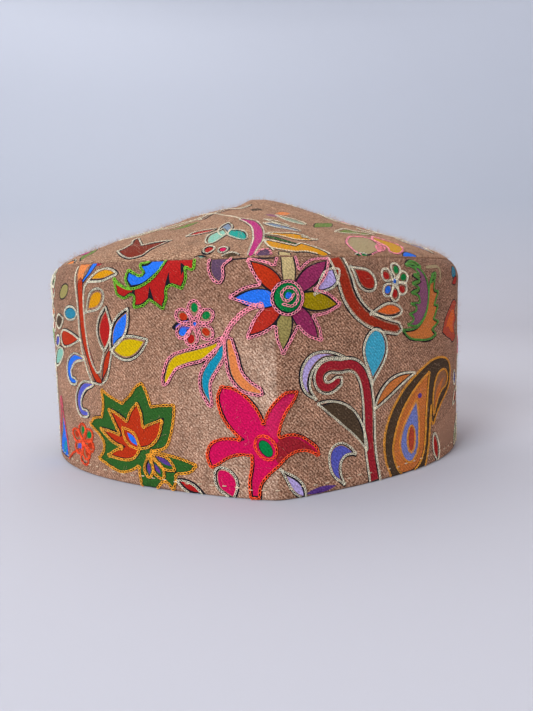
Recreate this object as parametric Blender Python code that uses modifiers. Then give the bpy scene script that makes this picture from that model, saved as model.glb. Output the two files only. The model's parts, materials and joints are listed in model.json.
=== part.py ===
# A Kashmiri cap standing empty on its rim: an upright side band and a low tent of a crown sewn on top.
# Metres, +Z up. The rim lies on z = 0, the cap's axis is Z, and the front crease faces -Y.
import math
from collections import namedtuple

import bmesh
import bpy

# Sizes of the band, outside
RIM_LENGTH = 0.190
RIM_WIDTH = 0.194
SHOULDER_LENGTH = 0.183
SHOULDER_WIDTH = 0.194
BAND_HEIGHT = 0.0865
UPRIGHT_HEM = 0.004
SHOULDER_RADIUS = 0.012
SHOULDER_TURN = math.radians(50)

# Each side wall meets the pressed crease at this angle from straight across
CREASE_TURN = math.radians(21)

# How far the walls run nearly straight from the crease, and from the widest place,
# as shares of the half width and of the half length
CREASE_RUN_SHARE = 0.51
SIDE_RUN_SHARE = 0.57

# The crease is crisp in the middle of the wall and soft at the hem and at the shoulder
CreaseRow = namedtuple("CreaseRow", "height_share softness_share")
CREASE_ROWS = (
    CreaseRow(height_share=0.00, softness_share=0.040),
    CreaseRow(height_share=0.18, softness_share=0.020),
    CreaseRow(height_share=0.62, softness_share=0.018),
    CreaseRow(height_share=1.00, softness_share=0.052),
)

# The crown rises this far above its seam. Its edge carries on the shoulder's bend, which dies
# out over BEND_SHARE of the way in. Its slope bellies out halfway up by BELLY, and its tip is
# rounded over TIP_SHARE of the way out.
CROWN_RISE = 0.033
BEND_SHARE = 0.05
BELLY = 0.0009
TIP_SHARE = 0.07

# The cloth is pinched up at the peak, in a short fold that lies along the front-to-back ridge
PINCH_HEIGHT = 0.0022
PINCH_HALF_WIDTH = 0.0045
PINCH_HALF_LENGTH = 0.022

# Thickness of the layered band and of the crown's cloth, and the seam between them
BAND_WALL = 0.0025
CROWN_WALL = 0.0020
SEAM_GAP = 0.0004
EDGE_ROUNDING = 0.0004
SHARPEST_BEND = math.radians(60)

# How finely the shapes are divided. Points crowd towards the creases by a power.
QUARTER_STEPS = 16
CREASE_CROWDING = 1.35
WALL_SHARES = (0.12, 0.28, 0.45, 0.62, 0.78, 1.0)
SHOULDER_STEPS = 4
SEAM_STRIP = 0.0008
CROWN_SHARES = (0.02, 0.045, 0.08, 0.14, 0.24, 0.36, 0.48, 0.60, 0.72, 0.82, 0.90, 0.96)

CLOTH_COLOUR = (0.335, 0.205, 0.150, 1.0)
CROWN_COLOUR = (0.375, 0.235, 0.175, 1.0)
CLOTH_ROUGHNESS = 0.92

SHOULDER_START = BAND_HEIGHT - SHOULDER_RADIUS * math.sin(SHOULDER_TURN)
SHOULDER_INSET = SHOULDER_RADIUS * (1 - math.cos(SHOULDER_TURN))
SEAM_HALF_LENGTH = SHOULDER_LENGTH / 2 - SHOULDER_INSET
SEAM_HALF_WIDTH = SHOULDER_WIDTH / 2 - SHOULDER_INSET


def clear_scene():
    for obj in list(bpy.data.objects):
        bpy.data.objects.remove(obj, do_unlink=True)


def crease_softness(height):
    """The softness of the crease at a height, read off the table between its rows."""
    share = min(max(height / BAND_HEIGHT, 0.0), 1.0)
    for low, high in zip(CREASE_ROWS, CREASE_ROWS[1:]):
        if share <= high.height_share:
            along = (share - low.height_share) / (high.height_share - low.height_share)
            eased = along * along * (3 - 2 * along)
            step = high.softness_share - low.softness_share
            return (low.softness_share + step * eased) * RIM_WIDTH / 2


def quarter_point(along, half_length, half_width, softness):
    """A point of the front right quarter: along is 0 at the front crease and 1 at the widest place."""
    corner = half_length + softness * math.tan(CREASE_TURN)
    run = CREASE_RUN_SHARE * half_width
    controls = (
        (0.0, -corner),
        (run * math.cos(CREASE_TURN), -corner + run * math.sin(CREASE_TURN)),
        (half_width, -SIDE_RUN_SHARE * half_length),
        (half_width, 0.0),
    )
    rest = 1 - along
    weights = (rest**3, 3 * rest * rest * along, 3 * rest * along * along, along**3)
    x = sum(weight * point[0] for weight, point in zip(weights, controls))
    y = sum(weight * point[1] for weight, point in zip(weights, controls))
    rounding = (math.hypot(x, softness) - x) * math.tan(CREASE_TURN)
    return x, y + rounding * rest


def outline(half_length, half_width, softness):
    """The plan of the cap as a closed loop of points, from the front crease round by +X."""
    steps = [(i / QUARTER_STEPS) ** CREASE_CROWDING for i in range(QUARTER_STEPS + 1)]
    quarter = [quarter_point(s, half_length, half_width, softness) for s in steps]
    right = quarter + [(x, -y) for x, y in reversed(quarter[:-1])]
    return right + [(-x, y) for x, y in reversed(right[1:-1])]


def band_ring(height, inset=0.0):
    """The band's outer outline at a height, drawn in by inset at the shoulder."""
    share = min(height / SHOULDER_START, 1.0)
    length = RIM_LENGTH + (SHOULDER_LENGTH - RIM_LENGTH) * share
    width = RIM_WIDTH + (SHOULDER_WIDTH - RIM_WIDTH) * share
    if height <= UPRIGHT_HEM:
        length, width = RIM_LENGTH, RIM_WIDTH
    softness = crease_softness(0.0 if height <= UPRIGHT_HEM else height)
    loop = outline(length / 2 - inset, width / 2 - inset, softness)
    return [(x, y, height) for x, y in loop]


def band_rings():
    """Rings of the band's outer face, from the rim up to the crown seam."""
    rings = [band_ring(0.0), band_ring(UPRIGHT_HEM)]
    for share in WALL_SHARES:
        rings.append(band_ring(UPRIGHT_HEM + (SHOULDER_START - UPRIGHT_HEM) * share))
    arc_turn = SHOULDER_TURN - SEAM_STRIP / SHOULDER_RADIUS
    for step in range(1, SHOULDER_STEPS + 1):
        turn = arc_turn * step / SHOULDER_STEPS
        rise = SHOULDER_RADIUS * math.sin(turn)
        rings.append(band_ring(SHOULDER_START + rise, SHOULDER_RADIUS * (1 - math.cos(turn))))
    rings.append(band_ring(BAND_HEIGHT, SHOULDER_INSET))
    return rings


def crown_height(share, x, y):
    """Height of the crown's outer face. share is 0 at the seam and 1 at the axis."""
    tip_length = math.hypot(1, TIP_SHARE) - TIP_SHARE
    tent_slope = 1 / (tip_length * math.hypot(1, TIP_SHARE))
    tent = CROWN_RISE - PINCH_HEIGHT
    steepness = SEAM_HALF_WIDTH / math.tan(SHOULDER_TURN) - 4 * BELLY
    bend = BEND_SHARE * (steepness - tent * tent_slope) / (1 - BEND_SHARE * tent_slope)
    height = BAND_HEIGHT + bend * (1 - math.exp(-share / BEND_SHARE))
    height += (tent - bend) * (1 - (math.hypot(1 - share, TIP_SHARE) - TIP_SHARE) / tip_length)
    height += BELLY * 4 * share * (1 - share)
    return height + PINCH_HEIGHT * math.exp(-math.hypot(x / PINCH_HALF_WIDTH, y / PINCH_HALF_LENGTH))


def crown_rings():
    """Rings of the crown's outer face, from just inside the seam towards the peak."""
    seam = outline(SEAM_HALF_LENGTH, SEAM_HALF_WIDTH, crease_softness(BAND_HEIGHT))
    edge = SEAM_GAP * math.sin(SHOULDER_TURN) / SEAM_HALF_WIDTH
    strip = edge + SEAM_STRIP / SEAM_HALF_WIDTH
    rings = []
    for share in (edge, strip) + CROWN_SHARES:
        loop = [(x * (1 - share), y * (1 - share)) for x, y in seam]
        rings.append([(x, y, crown_height(share, x, y)) for x, y in loop])
    return rings


def shell(name, rings, wall, colour, peak=None):
    """An open surface lofted through rings of equal point counts, thickened inwards."""
    mesh = bpy.data.meshes.new(name)
    build = bmesh.new()
    loops = [[build.verts.new(point) for point in ring] for ring in rings]
    count = len(rings[0])
    for low, high in zip(loops, loops[1:]):
        for i in range(count):
            j = (i + 1) % count
            build.faces.new((low[i], low[j], high[j], high[i]))
    if peak:
        tip = build.verts.new(peak)
        for i in range(count):
            build.faces.new((loops[-1][i], loops[-1][(i + 1) % count], tip))
    build.to_mesh(mesh)
    build.free()
    mesh.shade_smooth()
    obj = bpy.data.objects.new(name, mesh)
    cap.objects.link(obj)

    thicken = obj.modifiers.new("thicken", "SOLIDIFY")
    thicken.thickness = wall
    thicken.offset = -1
    thicken.use_even_offset = True
    soften = obj.modifiers.new("soften_edges", "BEVEL")
    soften.width = min(EDGE_ROUNDING, wall / 4)
    soften.segments = 2
    soften.limit_method = "ANGLE"
    soften.angle_limit = SHARPEST_BEND

    mesh.materials.append(cloth_material(name, colour))


def cloth_material(name, colour):
    material = bpy.data.materials.new(name)
    material.use_nodes = True
    surface = material.node_tree.nodes["Principled BSDF"]
    surface.inputs["Base Color"].default_value = colour
    surface.inputs["Roughness"].default_value = CLOTH_ROUGHNESS
    surface.inputs["Metallic"].default_value = 0.0
    return material


def side_band():
    shell("side_band", band_rings(), BAND_WALL, CLOTH_COLOUR)


def crown():
    peak = (0.0, 0.0, crown_height(1.0, 0.0, 0.0))
    shell("crown", crown_rings(), CROWN_WALL, CROWN_COLOUR, peak)


clear_scene()
cap = bpy.data.collections.new("kashmiri_cap")
bpy.context.scene.collection.children.link(cap)
side_band()
crown()
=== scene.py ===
import json
import math
from contextlib import contextmanager

import bpy
import numpy as np
from mathutils import Matrix, Vector
from mathutils.geometry import delaunay_2d_cdt

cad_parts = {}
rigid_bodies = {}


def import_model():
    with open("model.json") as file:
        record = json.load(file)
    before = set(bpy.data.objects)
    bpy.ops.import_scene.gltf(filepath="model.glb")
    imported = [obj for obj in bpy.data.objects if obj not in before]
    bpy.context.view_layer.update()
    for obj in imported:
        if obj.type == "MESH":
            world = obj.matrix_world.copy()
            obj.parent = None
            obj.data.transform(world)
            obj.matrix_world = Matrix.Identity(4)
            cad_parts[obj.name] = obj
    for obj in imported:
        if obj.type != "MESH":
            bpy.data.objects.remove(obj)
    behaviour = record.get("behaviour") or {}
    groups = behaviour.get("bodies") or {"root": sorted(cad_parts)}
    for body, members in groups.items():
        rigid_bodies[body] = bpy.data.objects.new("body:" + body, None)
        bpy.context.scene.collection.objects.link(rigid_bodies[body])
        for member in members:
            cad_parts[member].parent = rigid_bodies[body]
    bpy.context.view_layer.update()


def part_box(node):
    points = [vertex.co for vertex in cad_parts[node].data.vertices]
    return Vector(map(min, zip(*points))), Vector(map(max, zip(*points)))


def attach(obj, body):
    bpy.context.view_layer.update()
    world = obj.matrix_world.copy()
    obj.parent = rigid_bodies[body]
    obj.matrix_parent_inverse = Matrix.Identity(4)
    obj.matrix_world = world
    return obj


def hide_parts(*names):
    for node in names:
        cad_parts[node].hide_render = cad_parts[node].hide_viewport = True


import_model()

# Charts and sizes are in millimetres. The band's chart has u along the wall to the right of the
# front crease, and h up the wall from the rim. The crown's chart is its plan, front crease at -y.
mm = 0.001
rng = np.random.default_rng(11)


# The cap's shape: a band with a pressed crease front and back, and a tented crown

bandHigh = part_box("side_band")[1]
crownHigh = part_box("crown")[1]
wallLean = 3.5               # how far the wall leans in at the creases, up to the shoulder
cap = {
    "halfWidth": bandHigh.x / mm,
    "rimHalfLength": bandHigh.y / mm,
    "shoulderHalfLength": bandHigh.y / mm - wallLean,
    "peakHeight": crownHigh.z / mm,
    "seamHeight": 86.5,
    "shoulderRadius": 12.0,
    "shoulderTurn": math.radians(50),
    "creaseTurn": math.radians(21),
    "creaseRunShare": 0.51,  # how far the plan's curve runs straight on from the crease
    "sideRunShare": 0.57,    # and from the side
    # how blunt the crease is: shares of the seam's height, and shares of the half width
    "creaseHeights": (0.0, 0.18, 0.62, 1.0),
    "creaseSoftness": (0.040, 0.020, 0.018, 0.052),
    "bandWall": 2.5,
    "crownWall": 2.0,
    "lipRadius": 0.6,        # rounding of the two cloth edges at the crown seam
    "seamGap": 0.12,
    "bendShare": 0.05,       # share of the crown's reach over which it leaves the shoulder's slope
    "belly": 0.45,           # how far its slope swells out
    "tipShare": 0.07,        # how blunt the tent's tip is
    "dipDepth": 1.2,         # the hollow left of the pinched peak
    "dipFromPeak": 8.6,
    "dipReach": 4.2,
    "dipHalfLength": 18.0,
    "pinchHeight": 3.6,
    "pinchHalfWidth": 3.4,
    "pinchHalfLength": 22.0,
    "lean": 2.6,             # how far the peak sits to the left
    "shelfHeight": 2.4,      # the cloth lies flatter to the right of the peak
    "shelfMiddle": 14.0,
    "shelfReach": 24.0,
    "shelfHalfLength": 40.0,
    "shelfStart": -4.0,
    "shelfOnset": 10.0,
    "ripple": 0.3,           # how far the cloth wanders in and out
    "ripplePeriod": 580,     # on the crown
}
midHeight = 45               # where the chart's u is measured along the wall
shoulderStart = cap["seamHeight"] - cap["shoulderRadius"] * math.sin(cap["shoulderTurn"])
seamInset = cap["shoulderRadius"] * (1 - math.cos(cap["shoulderTurn"]))
seamHalfWidth = cap["halfWidth"] - seamInset


def creaseSoftness(z):
    share = np.clip(z / cap["seamHeight"], 0, 1)
    heights, softness = cap["creaseHeights"], cap["creaseSoftness"]
    total = np.full_like(share, softness[0])
    for i in range(len(heights) - 1):
        along = np.clip((share - heights[i]) / (heights[i + 1] - heights[i]), 0, 1)
        total += (softness[i + 1] - softness[i]) * along * along * (3 - 2 * along)
    return total * cap["halfWidth"]


def planPoint(turn, halfLength, halfWidth, softness):
    # turn is 0 at the front crease, 1 at the right side, 2 or -2 at the back crease
    size = np.abs(turn)
    s = np.where(size <= 1, size, 2 - size)
    r = 1 - s
    slope = math.tan(cap["creaseTurn"])
    corner = halfLength + softness * slope
    run = cap["creaseRunShare"] * halfWidth
    x = 3 * r * r * s * run * math.cos(cap["creaseTurn"]) + (3 * r * s * s + s**3) * halfWidth
    y = 3 * r * r * s * (run * math.sin(cap["creaseTurn"]) - corner) - corner * r**3
    y = y - 3 * r * s * s * cap["sideRunShare"] * halfLength
    y = y + (np.hypot(x, softness) - x) * slope * r
    return np.where(turn < 0, -x, x), np.where(size <= 1, y, -y)


turns = np.linspace(-2, 2, 6001)
midX, midY = planPoint(turns, cap["rimHalfLength"] - wallLean / 2, cap["halfWidth"],
                       creaseSoftness(turns * 0 + midHeight))
lengths = np.concatenate([[0], np.cumsum(np.hypot(np.diff(midX), np.diff(midY)))])
lengths -= lengths[len(turns) // 2]
halfRound = lengths[-1]      # from the front crease round to the back one

seamX, seamY = planPoint(turns, cap["shoulderHalfLength"] - seamInset, seamHalfWidth,
                         creaseSoftness(turns * 0 + cap["seamHeight"]))
seamAngles, seamRadii = np.arctan2(seamX, -seamY), np.hypot(seamX, seamY)


def seamReach(x, y):
    # from the middle of the plan to the seam, towards each point
    return np.interp(np.arctan2(x, -y), seamAngles, seamRadii)


def lipPath(normal, along, wall):
    # from a cloth's outer face round its cut edge to the inner face, as offsets from the outer face
    lip = cap["lipRadius"]
    arc = np.linspace(0, math.pi / 2, 6)[:, None]
    first = -normal * lip + lip * (normal * np.cos(arc) + along * np.sin(arc))
    second = -normal * (wall - lip) + lip * (along * np.cos(arc) - normal * np.sin(arc))
    return np.vstack([first, second])


def bandProfile():
    # (inset, height) round the band's section: up the inner wall's start, round the rim, up the
    # outer wall, over the seam's lip and back down inside to where it began
    wall, radius = cap["bandWall"], cap["shoulderRadius"]
    half, middle = wall / 2, 40.0
    roll = np.linspace(0, math.pi, 13)
    points = [(wall, middle)]
    points += [(half + half * math.cos(a), half - half * math.sin(a)) for a in roll]
    lowest = 1 + len(roll) // 2
    last = cap["shoulderTurn"] - (cap["lipRadius"] + cap["seamGap"] / 2) / radius
    arc = np.linspace(0, last, 15)
    points += [(radius * (1 - math.cos(a)), shoulderStart + radius * math.sin(a)) for a in arc]
    turning = len(points) - 1
    normal = np.array([-math.cos(last), math.sin(last)])
    along = np.array([math.sin(last), math.cos(last)])
    points += [tuple(points[-1] + p) for p in lipPath(normal, along, wall)[1:]]
    inner = radius - wall
    points += [(radius - inner * math.cos(a), shoulderStart + inner * math.sin(a)) for a in arc[::-1]]
    points.append((wall, middle))
    points = np.array(points)
    h = np.concatenate([[0], np.cumsum(np.hypot(*np.diff(points, axis=0).T))])
    return h - h[lowest], points, turning


profileH, profilePoints, turning = bandProfile()
outerTop = profileH[turning]    # where the outer face turns over into the crown seam


def ripple(u, h, period):
    # slow wander of the cloth, the same at both ends of the chart
    k = 2 * math.pi / period
    wave = np.sin(7 * k * u + 0.045 * h + 1.0) + 0.7 * np.sin(12 * k * u - 0.11 * h + 2.3)
    return 0.6 * wave + 0.5 * np.sin(19 * k * u + 0.16 * h + 0.4)


def bandPlain(u, h):
    inset = np.interp(h, profileH, profilePoints[:, 0])
    z = np.interp(h, profileH, profilePoints[:, 1])
    share = np.clip(z / shoulderStart, 0, 1)
    halfLength = cap["rimHalfLength"] + (cap["shoulderHalfLength"] - cap["rimHalfLength"]) * share
    rise = np.clip(z / 25, 0, 1) * np.clip((cap["seamHeight"] - z) / 12, 0, 1)
    inset = inset - cap["ripple"] * rise * ripple(u, z, 2 * halfRound)
    x, y = planPoint(np.interp(u, lengths, turns), halfLength - inset, cap["halfWidth"] - inset,
                     creaseSoftness(z))
    return np.stack([x, y, z], -1)


def crownTop(x, y):
    # share is 0 at the seam and 1 at the peak
    reach = np.hypot(x, y)
    rho = reach / seamReach(x, y)
    leant = x + cap["lean"] * np.clip(1 - rho, 0, 1) ** 2
    share = 1 - np.hypot(leant, y) / seamReach(leant, y)
    tipLength = math.hypot(1, cap["tipShare"]) - cap["tipShare"]
    tentSlope = 1 / (tipLength * math.hypot(1, cap["tipShare"]))
    tent = cap["peakHeight"] - cap["seamHeight"] - cap["pinchHeight"]
    steepness = seamHalfWidth / math.tan(cap["shoulderTurn"]) - 4 * cap["belly"]
    bend = cap["bendShare"] * (steepness - tent * tentSlope) / (1 - cap["bendShare"] * tentSlope)
    # off the shoulder's slope, then straight up to a blunt tip
    z = cap["seamHeight"] + bend * (1 - np.exp(-share / cap["bendShare"]))
    z += (tent - bend) * (1 - (np.hypot(1 - share, cap["tipShare"]) - cap["tipShare"]) / tipLength)
    z += cap["belly"] * 4 * share * (1 - share)
    # the pinched peak, the hollow left of it and the flatter cloth right of it
    pinch = np.hypot(leant / cap["pinchHalfWidth"], y / cap["pinchHalfLength"])
    z += cap["pinchHeight"] * (np.exp(-np.hypot(pinch, 0.5)) - 0.15 * np.exp(-pinch * pinch))
    fromDip = (x + cap["dipFromPeak"]) / cap["dipReach"]
    z -= cap["dipDepth"] * np.exp(-fromDip**2 - (y / cap["dipHalfLength"]) ** 2)
    onset = np.clip((x - cap["shelfStart"]) / cap["shelfOnset"], 0, 1)
    fromShelf = (x - cap["shelfMiddle"]) / cap["shelfReach"]
    shelf = np.exp(-fromShelf**2 - (y / cap["shelfHalfLength"]) ** 2) * onset * onset * (3 - 2 * onset)
    z += cap["shelfHeight"] * shelf * np.clip(share * 4, 0, 1)
    wander = cap["ripple"] * np.clip(share * 6, 0, 1) * np.clip(reach / 20, 0, 1)
    z += wander * ripple(x * 2.2, y * 2.2, cap["ripplePeriod"])
    return np.stack([x, y, z], -1)


def normalOf(surface, x, y, step=0.05):
    across = surface(x + step, y) - surface(x - step, y)
    along = surface(x, y + step) - surface(x, y - step)
    normal = np.cross(across, along)
    return normal / np.maximum(np.linalg.norm(normal, axis=-1, keepdims=True), 1e-12)


edgeShare = (cap["lipRadius"] + cap["seamGap"] / 2) * math.sin(cap["shoulderTurn"]) / seamHalfWidth
lipLength = math.pi * cap["lipRadius"] + cap["crownWall"] - 2 * cap["lipRadius"]
crownTurnShare = 1 - edgeShare                        # where the top turns over into the seam
crownUnderShare = crownTurnShare + lipLength / seamHalfWidth
crownEndShare = crownUnderShare + crownTurnShare      # the chart's edge, under the peak


def crownPlain(x, y):
    # the chart runs on past the seam, round the cloth's edge and back along its underside
    reach = np.maximum(np.hypot(x, y), 1e-9)
    seam = seamReach(x, y)
    rho = reach / seam
    onX, onY = x / reach * seam, y / reach * seam
    back = np.clip(crownTurnShare - (rho - crownUnderShare), 1e-4, crownTurnShare)
    folded = np.where(rho <= crownTurnShare, rho, back)
    face = crownTop(onX * folded, onY * folded)
    normal = normalOf(crownTop, onX * folded, onY * folded)
    out = face - crownTop(onX * (folded - 0.002), onY * (folded - 0.002))
    out /= np.maximum(np.linalg.norm(out, axis=-1, keepdims=True), 1e-12)
    steps = np.linspace(0, 1, 12)
    depths = lipPath(np.array([1.0, 0.0]), np.array([0.0, 1.0]), cap["crownWall"])
    part = np.clip((rho - crownTurnShare) / (crownUnderShare - crownTurnShare), 0, 1)
    sunk = np.interp(part, steps, depths[:, 0])[..., None]
    pushed = np.interp(part, steps, depths[:, 1])[..., None]
    return face + normal * sunk + out * pushed


print("surface ready, half round", round(halfRound, 1), "outer top", round(outerTop, 2))


# Curves of the pattern, all in chart millimetres

paints = {
    "orangeRed": (183, 49, 19), "red": (176, 30, 27), "blue": (40, 110, 216),
    "yellow": (206, 168, 6), "amber": (214, 142, 12), "leafGreen": (48, 92, 36),
    "emerald": (6, 122, 58), "crimson": (160, 34, 44), "magenta": (206, 16, 80),
    "plum": (149, 45, 88), "olive": (160, 134, 6), "sand": (196, 170, 118), "cyan": (20, 136, 160),
    "teal": (66, 168, 194), "lavender": (186, 166, 216), "violet": (88, 90, 178),
    "purple": (92, 58, 130), "umber": (80, 62, 45), "apricot": (223, 127, 68),
    "slate": (94, 67, 88), "mint": (138, 190, 166), "greyBlue": (124, 138, 156),
    "rust": (158, 46, 24), "orchid": (184, 43, 114), "tulipRed": (124, 42, 24),
    "dullGreen": (112, 142, 66), "bone": (170, 149, 110), "brick": (164, 36, 24),
    "paisleyOrange": (210, 120, 58), "tan": (158, 108, 76), "khaki": (158, 142, 82),
    "scarlet": (180, 44, 30), "tangerine": (230, 104, 42), "periwinkle": (122, 134, 200),
    "ochre": (204, 148, 30), "sage": (150, 162, 138), "pinkWash": (214, 128, 132),
    "terracotta": (190, 76, 52), "lagoon": (48, 128, 150), "seaGreen": (22, 152, 136),
    "cherry": (204, 34, 84), "moss": (108, 130, 58), "mauve": (142, 84, 112), "ink": (30, 28, 34),
}
threads = {
    # name: (colour, size of its stitches, thread radius)
    "cream": ((248, 234, 202), 0.70, 0.14),
    "pink": ((252, 146, 160), 0.98, 0.17),
    "gold": ((240, 158, 34), 1.0, 0.18),
    "vermilion": ((250, 78, 20), 1.0, 0.18),
    "lime": ((126, 190, 36), 0.92, 0.165),
    "marigold": ((228, 150, 36), 0.86, 0.165),
    "fern": ((84, 150, 50), 0.74, 0.16),
    "rose": ((218, 86, 104), 1.0, 0.18),
    "hem": ((204, 178, 146), 1.0, 0.2),
}
stitch = {
    "pitch": 1.42,           # from one chain link to the next
    "width": 1.2,
    "lift": 0.1,             # above the cloth
    "lowest": 1.4,           # height of the lowest chain stitches
    "seamMargin": 0.6,       # left free below the crown seam
    "frontReach": 150,       # the front's stitches end this far round from the front crease
    "pathSpacing": 0.5,      # between the points of a path that is stitched
    "shortestRun": 7,        # points; a shorter piece of a path gets no stitches
    "inkHalfWidth": 0.74,    # the printed line under the stitches, which also stands as painted shade in the holes of the chain
    "inkSlip": 0.38,         # how far the stitches stray from the printed line
    "hemHeight": 4.7,
    "hemPitch": 5.0,
    "hemLength": 1.9,
    "hemLift": 0.05,
}
# the shapes drawn so far, and the place and the other colours that the next ones are drawn in
pen = {"place": [lambda p: p], "swap": {}, "shapes": []}


@contextmanager
def moved(dx=0.0, dy=0.0, about=(0, 0), turn=0.0, mirror=False, size=1.0, swap=None):
    # draws the same motif elsewhere: mirrored, turned and resized about a point, then shifted
    centre = np.array(about, float)
    c, s = math.cos(math.radians(turn)) * size, math.sin(math.radians(turn)) * size
    matrix = np.array([[c, -s], [s, c]]) @ np.diag([-1.0 if mirror else 1.0, 1.0])
    before, colours = pen["place"][-1], dict(pen["swap"])
    pen["place"].append(lambda p: before((p - centre) @ matrix.T + centre + (dx, dy)))
    pen["swap"] = {**colours, **(swap or {})}
    yield
    pen["place"].pop()
    pen["swap"] = colours


def keep(outline, paint=None, thread=None, gap=0.0, ink=1.0, closed=True):
    outline = pen["place"][-1](np.asarray(outline, float))
    slip = rng.normal(0, 1, 2)
    slip = slip / np.linalg.norm(slip) * stitch["inkSlip"] * (0.6 + 0.4 * rng.random())
    beats = rng.random(max(3, len(outline) // 6))
    beats[-1] = beats[0]
    uneven = np.interp(np.linspace(0, len(beats) - 1, len(outline)), np.arange(len(beats)), beats)
    pen["shapes"].append({
        "outline": outline, "closed": closed, "gap": gap, "slip": slip,
        "paint": pen["swap"].get(paint, paint), "thread": pen["swap"].get(thread, thread),
        "ink": stitch["inkHalfWidth"] * ink * (0.55 + 0.6 * uneven),
    })


def smoothPath(points, closed=False, spacing=1.1):
    # a curve through given points; a third number in a point makes it a corner
    places = np.array([p[:2] for p in points], float)
    corner = [len(p) > 2 for p in points]
    count = len(places)
    out = []
    for i in range(count if closed else count - 1):
        j = (i + 1) % count
        a, b = places[i], places[j]
        chord = b - a
        size = np.linalg.norm(chord)
        ahead = places[(j + 1) % count] if closed or j + 1 < count else b
        behind = places[i - 1] if closed or i > 0 else a
        startWay = chord if corner[i] else b - behind
        endWay = chord if corner[j] else ahead - a
        startWay = startWay / max(np.linalg.norm(startWay), 1e-9) * size
        endWay = endWay / max(np.linalg.norm(endWay), 1e-9) * size
        steps = max(2, math.ceil(size / spacing))
        t = (np.arange(steps) / steps)[:, None]
        out.append((2 * t**3 - 3 * t**2 + 1) * a + (t**3 - 2 * t**2 + t) * startWay
                   + (3 * t**2 - 2 * t**3) * b + (t**3 - t**2) * endWay)
    if not closed:
        out.append(places[-1:])
    return np.vstack(out)


def besidePath(path, halfWidths, closed=False):
    way = np.gradient(path, axis=0) if not closed else np.roll(path, -1, 0) - np.roll(path, 1, 0)
    way = way / np.maximum(np.linalg.norm(way, axis=1, keepdims=True), 1e-9)
    side = np.stack([-way[:, 1], way[:, 0]], -1)
    return path + side * np.reshape(halfWidths, (-1, 1))


def patch(points, paint, thread=None, gap=0.0, ink=1.0):
    keep(smoothPath(points, True), paint, thread, gap, ink)


def line(points, thread, ink=1.0):
    keep(smoothPath(points), None, thread, 0.0, ink, closed=False)


def leaf(start, end, width, paint, thread=None, bow=0.0, belly=0.5, form=0, gap=0.0, ink=1.0):
    # form is 0 for two points, 1 for a drop with its point at the start, 2 for an oval
    start, end = np.array(start, float), np.array(end, float)
    size = np.linalg.norm(end - start)
    count = max(7, math.ceil(size / 1.1))
    t = (1 - np.cos(np.linspace(0, math.pi, count + 1))) / 2
    way = (end - start) / size
    side = np.array([-way[1], way[0]])
    spine = start + (end - start) * t[:, None] + side * (bow * 4 * t * (1 - t))[:, None]
    swell = np.sin(math.pi * t ** (math.log(0.5) / math.log(belly)))
    power = {0: 0.95 + 0 * t, 1: 0.95 - 0.45 * t, 2: 0.5 + 0 * t}[form]
    half = width / 2 * np.maximum(swell, 0) ** power
    left, right = besidePath(spine, half), besidePath(spine, -half)
    keep(np.vstack([left, right[-2:0:-1]]), paint, thread, gap, ink)


def ribbon(points, widths, paint, thread=None, gap=0.0, ink=1.0, caps=(True, True)):
    # a stem or curl of changing width along a path, with round ends
    path = smoothPath(points)
    along = np.concatenate([[0], np.cumsum(np.linalg.norm(np.diff(path, axis=0), axis=1))])
    along /= along[-1]
    half = np.interp(along, np.linspace(0, 1, len(widths)), widths) / 2
    left, right = besidePath(path, half), besidePath(path, -half)
    endWay = path[-1] - path[-2]
    startWay = path[0] - path[1]
    parts = [left]
    if caps[1]:
        parts.append([path[-1] + endWay / np.linalg.norm(endWay) * half[-1]])
    parts.append(right[::-1])
    if caps[0]:
        parts.append([path[0] + startWay / np.linalg.norm(startWay) * half[0]])
    keep(np.vstack(parts), paint, thread, gap, ink)


def oval(centre, across, up, paint, thread=None, turn=0.0, gap=0.0, ink=1.0):
    a = np.linspace(0, 2 * math.pi, max(10, math.ceil((across + up) * 1.5)), endpoint=False)
    c, s = math.cos(math.radians(turn)), math.sin(math.radians(turn))
    points = np.stack([np.cos(a) * across / 2, np.sin(a) * up / 2], -1) @ np.array([[c, s], [-s, c]])
    keep(points + np.array(centre), paint, thread, gap, ink)


# Motifs on the front half, as they lie on the cap

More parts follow.
